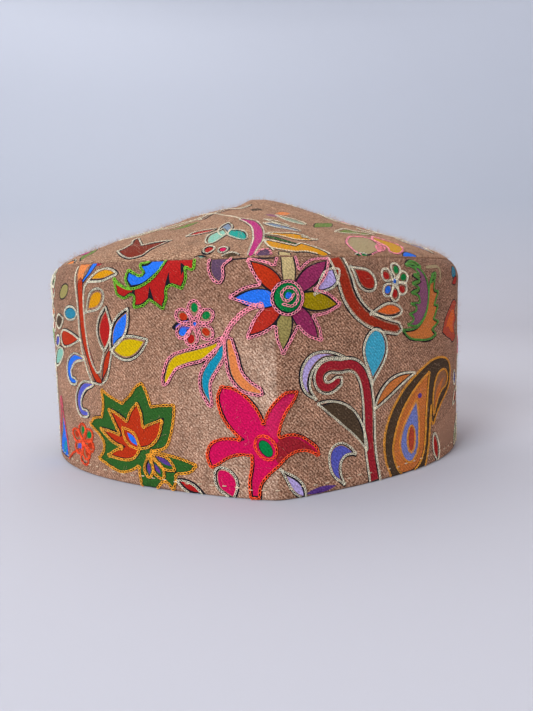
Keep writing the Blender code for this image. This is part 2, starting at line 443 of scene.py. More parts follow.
def mapleLeaf():
    patch([(-75, 37, 1), (-70, 34.5), (-64.5, 32.5, 1), (-60, 36), (-57, 39.5), (-54, 41, 1), (-52, 37),
           (-50.3, 32.2, 1), (-45, 33), (-40, 33.4, 1), (-40.5, 28), (-42, 21.5), (-44.5, 17),
           (-51, 15, 1), (-44, 14.4), (-37, 13.2), (-31.5, 11.6, 1), (-34, 8.8), (-40, 7.6, 1),
           (-40.4, 4), (-41.5, 1.6, 1), (-45, 4.2), (-49, 0.6, 1), (-55.6, 0.6, 1), (-56.4, 5),
           (-56.8, 8.6, 1), (-61, 6.4), (-66, 5.2), (-72, 6.6), (-78.2, 8.8, 1), (-75, 13),
           (-75.8, 17.2), (-82.8, 22.2, 1), (-80, 25), (-75.2, 26, 1), (-74.2, 31)], "leafGreen",
          "gold")
    patch([(-56.2, 15.3, 1), (-59, 11.6), (-64, 10.2), (-72.6, 10.8, 1), (-69, 13.2), (-64.4, 15, 1),
           (-70, 16.8), (-76.8, 21.4, 1), (-71, 20.8), (-65.8, 19.8, 1), (-68.6, 24.6),
           (-71.4, 29.6, 1), (-67, 28), (-62.4, 25.3, 1), (-60.4, 29.4), (-57, 33, 1), (-55.2, 29),
           (-54.8, 23.8, 1), (-50.4, 25.6), (-45.4, 27.6, 1), (-47.4, 21), (-51.6, 16.8)], "orangeRed",
          "gold")
    leaf((-56.4, 15.2), (-64.6, 22.8), 5.2, "orangeRed", "gold", ink=0)
    leaf((-57.6, 16.8), (-62.4, 21.4), 2.4, "blue", ink=0)
    leaf((-51, 14.2), (-40.6, 9), 4.6, "leafGreen", "gold", belly=0.6)
    leaf((-49.4, 13.2), (-42.2, 10), 1.9, "purple", ink=0)
    leaf((-51.6, 13.6), (-45.6, 5), 4.4, "leafGreen", "gold", belly=0.65)
    leaf((-49.6, 10.4), (-46.8, 6.8), 1.7, "purple", ink=0)
    leaf((-52.4, 13.4), (-52, 4.6), 4.2, "leafGreen", "gold", belly=0.6)
    leaf((-52.8, 10.6), (-52.3, 6), 1.8, "purple", ink=0)


def redStemSpray():
    patch([(-91, 88.5, 1), (-89, 84), (-87, 79, 1), (-84.2, 80), (-84.4, 84), (-83, 88.5, 1)],
          "apricot", ink=0)
    patch([(-86.4, 78.6, 1), (-84.4, 81), (-82.6, 83.6), (-82.4, 88.5, 1), (-79, 88.5, 1), (-80, 84),
           (-82.6, 81), (-85.6, 78, 1)], "blue", ink=0.4)
    patch([(-80, 88.5, 1), (-77.6, 86.2), (-74.8, 88.5, 1)], "crimson", ink=0)
    ribbon([(-86.2, 80), (-86.2, 70), (-86, 61), (-84.8, 55), (-82.2, 48.8), (-79.2, 43), (-76.4, 40)],
           [3.6, 3.4, 3.3, 3.0, 2.8], "orangeRed", ink=0.35)
    line([(-91, 86), (-89.4, 80), (-88.6, 74), (-88.3, 66), (-88, 58), (-86.2, 50.4), (-83.4, 44),
          (-80.4, 39.2)], "cream", 0.6)
    line([(-80.2, 80), (-82.6, 77.6), (-83.7, 73.6), (-84.1, 67), (-83.9, 60), (-82.6, 52.5),
          (-80.4, 47.2), (-77.8, 43.6, 1), (-75.8, 44), (-74.8, 47), (-73.2, 51.4)], "cream", 0.6)
    leaf((-75.4, 40), (-70.2, 53.4), 3.0, "orangeRed", belly=0.6, ink=0.4)
    line([(-80, 39.4), (-75.4, 38.8, 1), (-72.4, 41), (-70.6, 45), (-69.2, 50), (-68, 53)], "cream",
         0.7)
    leaf((-80.4, 79.6), (-64.6, 82.4), 5.0, "amber", "cream", bow=1.4, gap=0.95)
    leaf((-83, 67.4), (-72.4, 76), 7.6, "amber", "cream", belly=0.62, form=1, gap=1.35)
    leaf((-73, 52.6), (-71.2, 70), 8.0, "red", "cream", bow=0.4, belly=0.46, gap=1.2)
    leaf((-69, 53), (-59.6, 69.4), 7.2, "blue", "cream", bow=0.3, belly=0.5, gap=1.2)
    leaf((-68.4, 52.8), (-50.6, 57.6), 9.0, "yellow", "cream", bow=-0.9, belly=0.45, gap=1.3)


def leftEdgeBits():
    leaf((-105, 74), (-96, 78.4), 5.4, "khaki", form=2, ink=0.4)
    oval((-94.6, 67), 10.0, 5.6, "lagoon", "cream", gap=0.5)
    leaf((-112, 62), (-101, 64.4), 6.0, "umber", "cream", gap=0.8)
    patch([(-88, 56.2, 1), (-95, 59), (-102, 59.6), (-104.6, 56.4), (-102.6, 53), (-96, 53.4)],
          "orangeRed", "cream")
    leaf((-115.5, 53), (-107, 56), 4.6, "violet", "cream", form=2, gap=0.6)
    leaf((-118, 43), (-103, 50.6), 6.8, "mint", "cream", bow=1, form=1, gap=0.8)
    ribbon([(-86.4, 48.8), (-93, 48.4), (-98, 44), (-97.4, 39.4), (-93, 38.6)],
           [1.6, 3.8, 4.4, 3.8, 2.6], "blue", "cream", gap=0.8)
    ribbon([(-80.6, 38.8), (-87, 37), (-91.2, 31.4), (-89.6, 26.6), (-85, 26.2)],
           [1.6, 3.8, 4.4, 3.8, 2.8], "violet", "cream", gap=0.8)


def redBlossom():
    x, y = -88.5, 14
    petals = ((95, 7.5, "emerald"), (40, 8, "emerald"), (-15, 7, "orangeRed"),
              (-70, 7.5, "orangeRed"), (160, 9, "orangeRed"), (215, 8, "violet"))
    for angle, size, colour in petals:
        a = math.radians(angle)
        end = (x + size * math.cos(a), y + size * math.sin(a))
        leaf((x, y), end, 5.4, "tan", "vermilion", belly=0.62, form=1, ink=0.5)
        mid = (x + size * 0.62 * math.cos(a), y + size * 0.62 * math.sin(a))
        oval(mid, 3.8, 2.8, colour, turn=angle, ink=0)
    line([(-103, 4), (-98, 7.5), (-92, 10)], "vermilion")
    line([(-89, 11), (-91, 6), (-87, 4.5), (-85, 8)], "vermilion")


def edgeUpright():
    patch([(-119, 4, 1), (-117, 9), (-113, 15), (-110.4, 25, 1), (-108, 16), (-106.4, 10),
           (-105, 4, 1)], "blue", ink=0.4)
    line([(-118, 12), (-113, 22), (-110.6, 30), (-109, 24), (-106, 16), (-103, 8)], "rose", 0)
    leaf((-112, 4), (-106.6, 11), 4, "cyan", ink=0)


def jaggedSpray():
    patch([(-65.6, 80.4, 1), (-64.8, 74.6, 1), (-61, 73.2), (-57.6, 74.6), (-55.8, 74, 1),
           (-56.4, 69.8, 1), (-52.6, 70.2), (-48.6, 72.6, 1), (-43.2, 69.2, 1), (-41.6, 73),
           (-41.6, 76.4), (-39.4, 78, 1), (-35, 76.6, 1), (-33.4, 80), (-34.2, 84.6, 1), (-32, 83.4),
           (-30.4, 83.6, 1), (-31, 88.5, 1), (-43, 88.5, 1), (-45.2, 83), (-49, 79.4), (-54.6, 77),
           (-60, 77)], "red", "lime")
    patch([(-43, 88.5, 1), (-50, 88.5, 1), (-51.4, 86.6), (-54.6, 86.4, 1), (-53.4, 84.6),
           (-51.6, 82.8), (-53.4, 81.6, 1), (-56, 82.4), (-59, 83.4, 1), (-59.4, 80.6), (-57.4, 78, 1),
           (-52.4, 78.8), (-48, 81.4), (-44.4, 85)], "blue", ink=0.8)
    line([(-50, 88.5), (-51.6, 87), (-54.8, 86.6, 1), (-53.6, 84.6), (-51.8, 82.6), (-53.4, 81.2, 1),
          (-56, 82.4), (-59.2, 83.8, 1), (-60, 80.6), (-58.6, 77.4)], "lime", 0.4)
    line([(-65.6, 80.4), (-63.6, 78.4), (-60, 77)], "lime", 0.8)
    for left, tip, right in (((-50.4, 72), (-49.2, 77.6), (-47.4, 72.2)),
                             ((-42.6, 75.4), (-40.6, 83), (-39.6, 78)),
                             ((-57.6, 74.6), (-55.2, 77.4), (-55.6, 73)),
                             ((-35.4, 81.6), (-36.6, 87), (-33.8, 84.8))):
        patch([(*left, 1), (*tip, 1), (*right, 1)], "ink", ink=0)


def smallBlossom(centre, thread, petals, core="blue", reach=8.6, width=5.4):
    for angle, colour in petals:
        a = math.radians(angle)
        way = np.array([math.cos(a), math.sin(a)])
        start, end = np.array(centre) + way * 1.2, np.array(centre) + way * reach
        leaf(start, end, width, None, thread, belly=0.6, form=1, ink=0.6)
        oval(np.array(centre) + way * reach * 0.66, 3.4, 2.7, colour, turn=angle, ink=0)
    oval(centre, 2.2, 2.6, core, ink=0.3)


def pinkSpray():
    ribbon([(-19.2, 58), (-16.6, 62.9), (-13, 66.6), (-8.6, 69.4), (-4.8, 70.4)], [0.9, 0.85, 0.85],
           None, "pink", ink=0.3)
    ribbon([(-20, 58), (-23.2, 55.8), (-28.8, 52.8), (-35, 51.2), (-40, 49), (-42.8, 44.6),
            (-43.8, 42)], [1.8, 3.2, 5.2, 5.2, 5.4, 4.2, 2.6], "yellow", "pink", gap=0.9)
    ribbon([(-19.8, 57.6), (-21, 52.6), (-24, 48.4), (-26.4, 44.4), (-26.8, 40.4), (-25, 34.6)],
           [1.8, 4.0, 5.0, 4.8, 3.8, 1.6], "cyan", "pink", gap=0.9)
    ribbon([(-17.6, 58), (-16.4, 52), (-15, 46), (-11.6, 42), (-6.2, 39.8)], [3.0, 4.4, 5.0, 4.8, 2.6],
           "apricot", "pink", gap=0.9)


def starFlower():
    leaf((15.4, 73.6), (26.4, 82.6), 6.6, "lavender", "cream", belly=0.6, gap=0.5)
    patch([(-16.6, 73.2, 1), (-9.4, 70.9), (-3.8, 69.9, 1), (-7.6, 65), (-10.4, 58.8, 1), (-5.4, 60.2),
           (0, 63.2, 1), (0.6, 58), (2.5, 53.2, 1), (5.4, 57.4), (8.6, 62.6, 1), (12.8, 59),
           (18.2, 57, 1), (17.4, 61.4), (14.6, 66, 1), (20.6, 67), (26.6, 69.7, 1), (21.4, 73.6),
           (15.4, 75.2, 1), (20, 80.2), (22.8, 87, 1), (15.4, 86.4), (9.4, 82.2, 1), (8.6, 88.5, 1),
           (1.6, 88.5, 1), (0.2, 84, 1), (-4.4, 86), (-9.8, 87.2, 1), (-8, 82.4), (-4.8, 77.4, 1),
           (-10.6, 76.4)], None, "pink", ink=0.8)
    petals = (((2.6, 54.4), 6.2, "khaki"), ((17.2, 57.8), 6.4, "plum"), ((-9.8, 59.6), 6.6, "scarlet"),
              ((-15.4, 73.1), 6.8, "blue"), ((25.2, 69.7), 6.8, "olive"),
              ((-8.8, 86.2), 6.4, "orangeRed"), ((21.6, 85.8), 6.6, "plum"),)
    for tip, width, paint in petals:
        leaf((4.7, 72.6), tip, width, paint, belly=0.52, ink=0.5)
    patch([(2.6, 88.5, 1), (2.5, 82), (2.8, 78.0, 1), (7.2, 77.8, 1), (7.8, 83), (7.6, 88.5, 1)],
          "sand", ink=0.45)
    oval((4.7, 72.6), 11.6, 11.6, "emerald", "pink", ink=1.1)
    line([(3.4, 70.4), (6.4, 69.8), (8.6, 72.2), (7.8, 75.2), (5, 76.4), (2.6, 74.8), (2.8, 72.4),
          (5, 71.6), (6.6, 73.4)], "pink", 0)
    oval((4.8, 73.4), 2.6, 2.4, "blue", ink=0)


def seamCrescent():
    patch([(-24.8, 88.5, 1), (-24.6, 83), (-22.6, 79.4), (-20, 78.4), (-18.8, 81), (-19.2, 84.2),
           (-16.8, 86.8), (-15, 88.5, 1)], "slate", "pink", gap=0.8)
    line([(-15.4, 87), (-10, 87.6), (-4, 87.2), (1, 87.4)], "pink", 0.8)


def vineSpray():
    ribbon([(26, 89), (27.2, 83.5), (28.8, 78.5), (31.2, 72.6), (35, 67.6), (40, 63.9), (46.5, 61.3),
            (55, 59.4)], [6.6, 6.4, 6.4, 6.2, 5.8, 5.2, 4.6], "rust", "cream", gap=1.2,
           caps=(False, True))
    leaf((31.6, 83.6), (42.6, 75.2), 7.6, "brick", "cream", belly=0.62, form=1, gap=1.0)
    leaf((40.4, 65.6), (57, 66), 5.6, "tangerine", "cream", bow=0.8, belly=0.6, form=1, gap=1.1)
    petals = ((148, "red"), (75, "emerald"), (18, "emerald"), (-32, "red"), (-88, "red"),
              (-140, "blue"))
    smallBlossom((53, 77.6), "cream", petals, reach=7.6, width=5.0)


def jaggedHook():
    patch([(57.6, 58.6, 1), (62, 55.2), (68.5, 54), (75.5, 53.8), (80.6, 55.4, 1), (77.4, 57.8, 1),
           (82.6, 60.6, 1), (78.4, 62, 1), (82.4, 67.4, 1), (79, 67.8, 1), (83, 73.4, 1), (79.2, 74),
           (79.6, 77.6), (77.6, 80.6, 1), (75, 75), (74.4, 70), (73, 65), (70, 61), (65.6, 58.8)],
          "paisleyOrange", "fern")
    patch([(61, 60.4, 1), (67, 59.8), (71.4, 63), (74, 68), (74.4, 74), (71.6, 80), (66, 84.4),
           (60.8, 84.4, 1), (65.4, 82.8), (67.6, 80.6, 1), (64.2, 80.2, 1), (68, 78, 1),
           (63.2, 76.8, 1), (67.8, 74.8, 1), (62.6, 73, 1), (67.4, 71.6), (68.4, 69, 1),
           (62.6, 68.8, 1), (66.4, 66.6), (61.8, 64.6, 1), (64.6, 62.6)], "mauve", "fern", gap=0.3,
          ink=0.7)
    leaf((61.2, 84), (70, 83.4), 3.0, "dullGreen", "fern", bow=1.0)
    for left, right in (((63, 80), (69, 79.4)), ((62.6, 76.8), (69, 77.2)), ((62.2, 73), (68.4, 73.6))):
        leaf(left, right, 2.0, "dullGreen", ink=0.4)
    leaf((76.8, 77), (80.6, 81), 2.6, "dullGreen", "fern", ink=0.5)


def curlSpray():
    patch([(29.5, 49.6, 1), (25, 51.6), (19.4, 52.8), (14, 51.8), (10.4, 48), (9.6, 43), (11.4, 38.6),
           (15.8, 35.6, 1), (13.2, 40), (13.6, 44.4), (16.4, 48.4), (20.4, 50.4)], "lavender", "cream",
          gap=0.9)
    ribbon([(25.6, 41.6), (23.2, 39.9), (20.4, 39.4), (18, 40.8), (17.4, 43.8), (19, 46.3),
            (22.2, 47.4), (26.4, 47), (30.6, 47.2), (34.4, 45.6), (37.4, 41.4), (39, 35), (39.8, 27),
            (40, 19), (40.8, 10), (42.4, 0.5)], [3.8, 4.4, 5.0, 4.8, 4.8, 5.0, 5.2, 5.2, 5.0, 5.0, 5.2],
           "crimson", "cream", gap=0.8, caps=(True, False))
    leaf((41.3, 38.6), (43.4, 59.8), 11.8, "teal", "cream", bow=-0.5, belly=0.63, form=1, gap=0.95)
    leaf((16.4, 34), (38.6, 13.4), 7.0, None, "cream", bow=4.2, belly=0.45)
    patch([(17.8, 33.6, 1), (24, 34.2), (29.8, 32), (34.4, 27), (37, 20.6), (37.8, 15, 1), (33.4, 20.2),
           (28.4, 24.6), (23.6, 28), (20, 30.8)], "umber", ink=0.4)
    leaf((42.6, 29.2), (65, 41), 5.4, "paisleyOrange", "cream", bow=2.6, belly=0.45, gap=0.8, ink=1.3)
    patch([(33, 13.4, 1), (30, 16.6), (26, 18.4), (22, 17), (20.8, 12.6), (22.4, 7), (27.6, 2.6, 1),
           (25.8, 7), (26, 11.2), (28.4, 13.4)], "violet", "cream", gap=0.8)
    leaf((0.6, 12.4), (10.6, 0.4), 4.4, "lavender", "cream", bow=0.4, belly=0.62, gap=0.8)
    leaf((10.4, 1.6), (24, 2.6), 2.4, "purple", ink=0)


def bigPaisley():
    patch([(51, 0.4, 1), (48.2, 7), (47.2, 13.8), (48, 20), (50.6, 26), (55, 31.6), (60, 36.4),
           (66, 40.4), (72, 43.2), (78, 45), (84.5, 45.4), (90.6, 44.2), (94.8, 41.4), (96, 36.6),
           (94.8, 32), (91.4, 29), (86, 25.6), (81.6, 22), (78.6, 17.4, 1), (76.6, 20), (76.4, 26),
           (75.8, 16), (74.6, 8), (72, 0.4, 1)], "umber", "marigold", ink=0)
    patch([(78.6, 21.6, 1), (77.8, 28), (79.2, 34), (82, 38), (86.4, 39.8), (90.8, 39), (92.8, 35.6),
           (90.6, 32.4), (86.4, 31), (82, 27.4)], "tan", "marigold", ink=0.5)
    leaf((80, 24), (90, 36), 3.0, "paisleyOrange", bow=1.6, ink=0)
    patch([(55.4, 2.4), (52, 10.4), (53, 17.4), (56.4, 24.8), (62, 31.6), (68, 36.8), (75, 40.2, 1),
           (73.6, 33), (72.8, 24), (72.6, 14), (70.8, 6.4), (66, 1.8), (60, 0.8)], "paisleyOrange",
          "marigold", ink=0.4)
    patch([(62.6, 5), (58, 7.4), (55.9, 13.4), (57.8, 19.6), (61.6, 24.8), (66, 29.8, 1), (67.4, 23),
           (67.9, 16), (67, 9)], "periwinkle", "marigold", ink=0)
    oval((62.8, 14.2), 5.0, 11.0, "terracotta", "marigold", ink=0)
    oval((68, 31), 2.6, 2.2, "purple", ink=0)


def pinkFlower():
    patch([(-20.4, 41.2, 1), (-22, 38), (-21.6, 33.5), (-19.4, 28.6), (-16, 24.8), (-13.4, 22.4, 1),
           (-17.4, 22.4), (-21.4, 22), (-25.4, 19.8), (-27, 15.6), (-25.6, 11.4, 1), (-22.6, 12.8),
           (-18.6, 15.5), (-14, 16.9), (-9.6, 16.8, 1), (-9.6, 13), (-10.6, 8), (-10.6, 1.6, 1),
           (-7.2, 1.6, 1), (-6.4, 6.6), (-3, 10.8), (0.2, 13.8, 1), (3, 16.4), (7, 18), (11.6, 17.6),
           (16.4, 15.2, 1), (15.4, 18.2), (12.2, 21), (8.4, 23.4), (4, 24.2), (0.2, 23.6, 1),
           (0.8, 27.4), (2.8, 32), (5.8, 35.8), (7.8, 39.2, 1), (3.6, 39.4), (-0.2, 36.8), (-3.2, 32.6),
           (-5, 28.4, 1), (-7.4, 33.2), (-11.2, 37.6), (-16, 40.6)], "magenta", "vermilion")
    patch([(-4.6, 29.6), (-2.6, 33.2), (0.6, 36.8), (4, 38.5), (6.7, 38.6), (4.8, 35.6), (1.9, 31.6),
           (0, 27.6), (-0.7, 23.8), (-3, 25.4)], "cherry", ink=0)
    patch([(0.6, 23), (4, 23.5), (8.2, 22.6), (11.8, 20.3), (14.6, 17.8), (15.5, 16.2), (11.5, 18.3),
           (7, 18.7), (3, 17.1), (0.4, 14.8), (-1, 18)], "crimson", ink=0)
    oval((-4.4, 20), 7.0, 9.2, "magenta", "vermilion", turn=36, ink=0)
    oval((-4.4, 20), 4.2, 6.6, "emerald", turn=36, ink=0.3)


def rimBits():
    leaf((-17.4, 0), (-23.6, 10.8), 8.4, "magenta", "cream", bow=-1.2, belly=0.55, form=1, gap=0.9)
    leaf((-40, 5.2), (-29, 0.6), 3.6, "red", "cream", gap=0.6)
    leaf((83, 0.6), (79.6, 13.4), 5.0, "red", "cream", form=1, gap=1.0)


def sideLeaves():
    patch([(86.6, 56, 1), (89.4, 61), (94, 65), (98.2, 68.4, 1), (101.6, 69.6), (106.6, 68, 1),
           (103.4, 64.6), (107.6, 61, 1), (104, 57.6), (108, 52.4, 1), (101.6, 50.6), (97, 52.4),
           (92.6, 53.4)], "terracotta", ink=0.4)
    patch([(90.6, 57, 1), (94.6, 61.4), (100, 64.6), (103, 61.6), (101, 57.4), (103.6, 54, 1), (98, 55),
           (94, 57.4)], "tangerine", ink=0)
    leaf((104, 3), (113, 14), 6.5, "dullGreen", "cream", form=1, gap=0.8)
    leaf((116, 2), (114, 15), 5.5, "mint", "cream", form=1, gap=0.8)
    ribbon([(75, 83.2), (80, 83.6), (85.4, 83.2), (85.4, 80), (84.6, 77)], [1.2, 1.4, 1.4, 1.2], "bone",
           ink=0)
    leaf((98, 80), (108, 83.6), 4.6, "lagoon", form=2, ink=0.5)
    leaf((98, 76.4), (108, 79), 3.6, "scarlet", ink=0.4)
    oval((104, 34), 5, 6.5, "violet", "cream", gap=0.8)
    leaf((101, 22), (109, 29), 4.6, "orangeRed", "cream", gap=0.8)


def frontMotifs():
    edgeUpright()
    leftEdgeBits()
    redBlossom()
    mapleLeaf()
    redStemSpray()
    jaggedSpray()
    leaf((-29.6, 64), (-39.6, 62.2), 4.4, "violet", ink=0.9)
    petals = ((90, "emerald"), (150, "orangeRed"), (30, "emerald"), (212, "blue"), (-35, "orangeRed"),
              (-105, "red"))
    smallBlossom((-30.4, 63.8), "pink", petals, reach=8.4, width=5.0)
    pinkSpray()
    starFlower()
    seamCrescent()
    vineSpray()
    jaggedHook()
    curlSpray()
    bigPaisley()
    pinkFlower()
    rimBits()
    sideLeaves()


# What the photo doesn't show: the sides and the back, in the same style

def sideFillers():
    with moved(dx=-157, dy=-37, about=(4.7, 72.6), turn=15,
               swap={"blue": "teal", "red": "violet", "bone": "yellow"}):
        starFlower()
    with moved(dx=-172, dy=1, swap={"brick": "teal", "rust": "crimson"}):
        vineSpray()
    leaf((-166, 14), (-174, 3), 6, "mint", "cream", form=1, gap=0.9)
    leaf((-134, 2), (-127, 13), 6, "emerald", "cream", form=1, gap=0.9)
    petals = ((90, "amber"), (150, "orangeRed"), (30, "emerald"), (212, "blue"), (-35, "plum"),
              (-95, "red"))
    smallBlossom((-166, 68), "pink", petals, reach=8.0, width=5.0)
    ribbon([(-166, 76), (-163, 81), (-157, 84.6)], [1.8, 2.6, 1.6], "rust", "pink", gap=0.4)
    leaf((-124, 25), (-132, 37.6), 6.6, "lavender", "cream", bow=-1.4, gap=0.9)
    leaf((-122.6, 30), (-118.6, 44), 6.4, "apricot", "cream", belly=0.6, form=1, gap=0.9)
    leaf((-134, 50), (-126, 58.6), 5.6, "olive", "lime", bow=1)
    with moved(dx=149, dy=26, turn=-14, about=(-4.4, 20),
               swap={"magenta": "orangeRed", "cherry": "apricot", "crimson": "amber",
                     "vermilion": "pink", "emerald": "violet"}):
        pinkFlower()
    petals = ((150, "red"), (75, "emerald"), (0, "blue"), (-75, "red"), (-150, "amber"))
    smallBlossom((127.6, 66), "cream", petals, reach=7.4, width=5.0)
    leaf((124, 27), (119, 43), 6.4, "teal", "cream", belly=0.6, form=1, gap=0.9)
    leaf((166, 55), (174, 41), 6.2, "plum", "cream", belly=0.6, form=1, gap=0.9)
    leaf((145, 74), (158, 83), 6.2, "leafGreen", "lime", bow=1.4)
    leaf((140, 73), (131, 82.6), 5.4, "yellow", "lime", bow=-1.2)
    leaf((146, 5), (161, 12), 6.4, "red", "cream", bow=1.2, gap=0.9)
    leaf((170, 80), (178, 70), 6, "violet", "cream", form=1, gap=0.9)
    leaf((122, 8), (134, 16), 6, "lavender", "cream", bow=1, gap=0.8)


def backMotifs():
    swap = {"blue": "violet", "violet": "teal", "magenta": "crimson", "teal": "blue",
            "crimson": "magenta", "yellow": "amber", "amber": "yellow", "leafGreen": "rust",
            "umber": "leafGreen", "lavender": "mint"}
    with moved(dx=halfRound, mirror=True, swap=swap):
        frontMotifs()


def crownFront():
    patch([(-59.6, -50, 1), (-57, -49.4), (-54.6, -44, 1), (-54.4, -37.6), (-52.4, -37.6, 1),
           (-50.4, -47), (-49.4, -52.4, 1), (-44, -53), (-37.4, -55.4, 1), (-43, -58.6), (-48, -64, 1),
           (-53, -62.4), (-56.8, -57.4)], "tulipRed", "cream", gap=0.5)
    leaf((-31.5, -52.6), (-19.6, -48.6), 6.4, "red", "cream", gap=0.8)
    leaf((-17.4, -61), (-14.4, -42.6), 5.6, "greyBlue", "cream", gap=0.8)
    leaf((-16.8, -50.6), (-22.4, -69), 7.4, "mint", "cream", form=1, gap=0.8)
    leaf((-14, -54), (-9, -70.6), 6.4, "seaGreen", "cream", form=1, gap=0.5)
    oval((-22.5, -74.8), 4.2, 4.8, "red", "cream", gap=0.4)
    oval((-17.4, -77.4), 3.6, 4.2, "magenta", "cream", gap=0.4)
    leaf((-30, -77), (-23.4, -79.8), 3.4, "seaGreen", "cream", gap=0.4, ink=0.5)
    leaf((-18, -81), (-11.6, -83.6), 3.4, "umber", "cream", gap=0.4, ink=0.5)
    ribbon([(-7.4, -84.6), (-4.6, -76), (-3.4, -66), (-3.6, -56), (-5.6, -47), (-9, -40.6)],
           [2.6, 3.8, 4.2, 4.2, 3.6, 1.4], "orchid", "cream", gap=0.4, ink=0.4)
    line([(-9.6, -39.4), (-13, -33), (-20, -20), (-27, -4)], "cream", 0)
    patch([(-1.4, -68.4, 1), (1.6, -66.6), (5, -66), (10, -65), (16, -65.2, 1), (13, -67.6),
           (19.6, -66.4, 1), (15.6, -70.6, 1), (11, -71.6), (6, -71), (1.6, -69.8)], "amber", "cream",
          gap=0.4, ink=0.7)
    ribbon([(-1, -70.6), (2, -73.4), (5.8, -75.6), (9.8, -76.8)], [1.0, 2.2, 2.2, 1.2], "leafGreen",
           ink=0.5)
    patch([(-2, -74.4, 1), (1.6, -76.6), (5.4, -78.2), (9, -79, 1), (11.6, -75, 1), (15.6, -76.6),
           (20, -78.4), (27, -81.6, 1), (20.4, -81.2), (16, -81.2), (12.4, -81.6), (8.4, -83.2),
           (4, -83.4), (0, -82.4), (-1.8, -78.6)], "amber", "cream", gap=0.4, ink=0.5)
    line([(-1.6, -76.4), (-1.2, -80.4), (0.4, -84)], "cream", 0.4)
    patch([(2.2, -84.4, 1), (6.2, -84.2, 1), (6.8, -88.5, 1), (1.8, -88.5, 1)], "sand", ink=0.4)
    patch([(-6, -88.5, 1), (-5.6, -84.8), (-3.4, -83.6), (-1.2, -84), (-0.4, -88.5, 1)], "slate",
          "pink", gap=0.3, ink=0.5)
    leaf((-0.4, -53.4), (14, -58.6), 6.6, "greyBlue", "cream", form=1, gap=0.5, ink=0.5)
    leaf((0.4, -47), (10.4, -52), 4.0, "bone", "cream", gap=0.6, ink=0.4)
    leaf((6, -38.6), (18, -45.6), 6.0, "sage", "cream", form=1, gap=0.5, ink=0.3)
    leaf((6.6, -33.4), (13.4, -31.6), 5.0, "apricot", ink=0)
    leaf((1.4, -37.4), (7.2, -41), 3.6, "mauve", ink=0)
    leaf((-4, -26.6), (0.6, -29.6), 4.0, "umber", ink=0.5)
    leaf((21, -49.4), (31, -37), 6.0, "moss", ink=0.3)
    leaf((29, -52), (49.4, -37), 6.4, "moss", "cream", bow=1.2, gap=0.9, ink=0.4)
    patch([(31.8, -62), (35, -56), (39.6, -52.6), (43.4, -53), (45, -57), (45.8, -62.4), (41.6, -68.6),
           (36.4, -73), (32.6, -72.4), (30.8, -67)], "bone", "pink", gap=0.4, ink=0.4)
    patch([(44.4, -52.6, 1), (46.4, -45, 1), (50.6, -47), (55, -49), (56.6, -55), (52.4, -62.6),
           (48.6, -64, 1), (48.6, -59), (46.6, -56)], "ochre", "pink", gap=0.5, ink=0.3)
    leaf((43.4, -66.4), (46.8, -58.6), 3.6, "pinkWash", "pink", gap=0.4, ink=0)
    leaf((83.4, -13), (84.6, -21), 4.6, "red", ink=0)
    leaf((32.4, -74.2), (40, -73), 3.6, "emerald", "cream", gap=0.5)
    leaf((54.4, -62.4), (62, -56.4), 4.8, "blue", ink=0.3)
    ribbon([(-80, 4), (-80, -10), (-78.4, -22), (-74, -34)], [2.4, 5.0, 5.0, 2.0], "orchid", ink=0.4)
    leaf((-72, -28), (-76.6, -42), 5.4, "moss", ink=0.4)
    leaf((-84, -31), (-79.6, -41), 5.0, "apricot", "cream", gap=0.6)
    ribbon([(-62, -24), (-46, -26), (-32, -24), (-22, -20)], [1.6, 4.4, 4.0, 1.6], "bone", "cream",
           ink=0.3, gap=0.6)
    leaf((-40, -34), (-26, -31), 5, "moss", ink=0.3)
    leaf((28, -16), (42, -24), 6, "mint", "cream", gap=0.8, ink=0.4)
    petals = ((60, "blue"), (0, "blue"), (-60, "teal"), (-120, "teal"), (180, "lavender"),
              (120, "lavender"))
    smallBlossom((46, -4), "pink", petals, core="amber")
    ribbon([(-26, -26), (-20, -18), (-12, -14), (-4, -16)], [2.2, 2.6, 1.6], "rust", "cream", gap=0.4)
    leaf((-44, -14), (-58, -22), 7, "violet", "cream", bow=1.6, gap=0.9)
    leaf((-50, -6), (-66, -4), 7, "amber", "cream", bow=1.2, gap=0.9)
    leaf((52, -14), (68, -26), 7, "orangeRed", "cream", bow=1.4, gap=0.9)
    leaf((60, -34), (74, -42), 6.4, "violet", "cream", gap=0.9)
    leaf((72, -8), (84, -22), 6.4, "teal", "cream", form=1, gap=0.9)
    leaf((14, -8), (26, -2), 5.6, "mint", "cream", gap=0.8)
    ribbon([(44, -30), (54, -30), (66, -24)], [1.4, 1.8, 1.2], "rust", "cream", ink=0.6)


def crownMotifs():
    crownFront()
    with moved(turn=180, about=(0, 0), swap={"amber": "apricot", "mint": "lavender", "teal": "blue",
                                             "tulipRed": "violet", "bone": "mint"}):
        crownFront()


def charted(motifs, period=None):
    # draws the motifs, and repeats at the other end what runs over the chart's side
    pen["shapes"] = []
    motifs()
    shapes = pen["shapes"]
    if period:
        for shape in list(shapes):
            u = shape["outline"][:, 0]
            for reach, shift in ((u.max() > period / 2 - 2, -period),
                                 (u.min() < -period / 2 + 2, period)):
                if reach:
                    shapes.append({**shape, "outline": shape["outline"] + (shift, 0)})
    return shapes


def bandMotifs():
    backMotifs()
    sideFillers()
    frontMotifs()


bandShapes = charted(bandMotifs, 2 * halfRound)
crownShapes = charted(crownMotifs)
print("pattern ready,", len(bandShapes), "shapes on the band and", len(crownShapes), "on the crown")


# Printing the pattern onto the cloth's triangles

def linear(colour):
    share = np.array(colour) / 255
    return np.where(share <= 0.04045, share / 12.92, ((share + 0.055) / 1.055) ** 2.4)


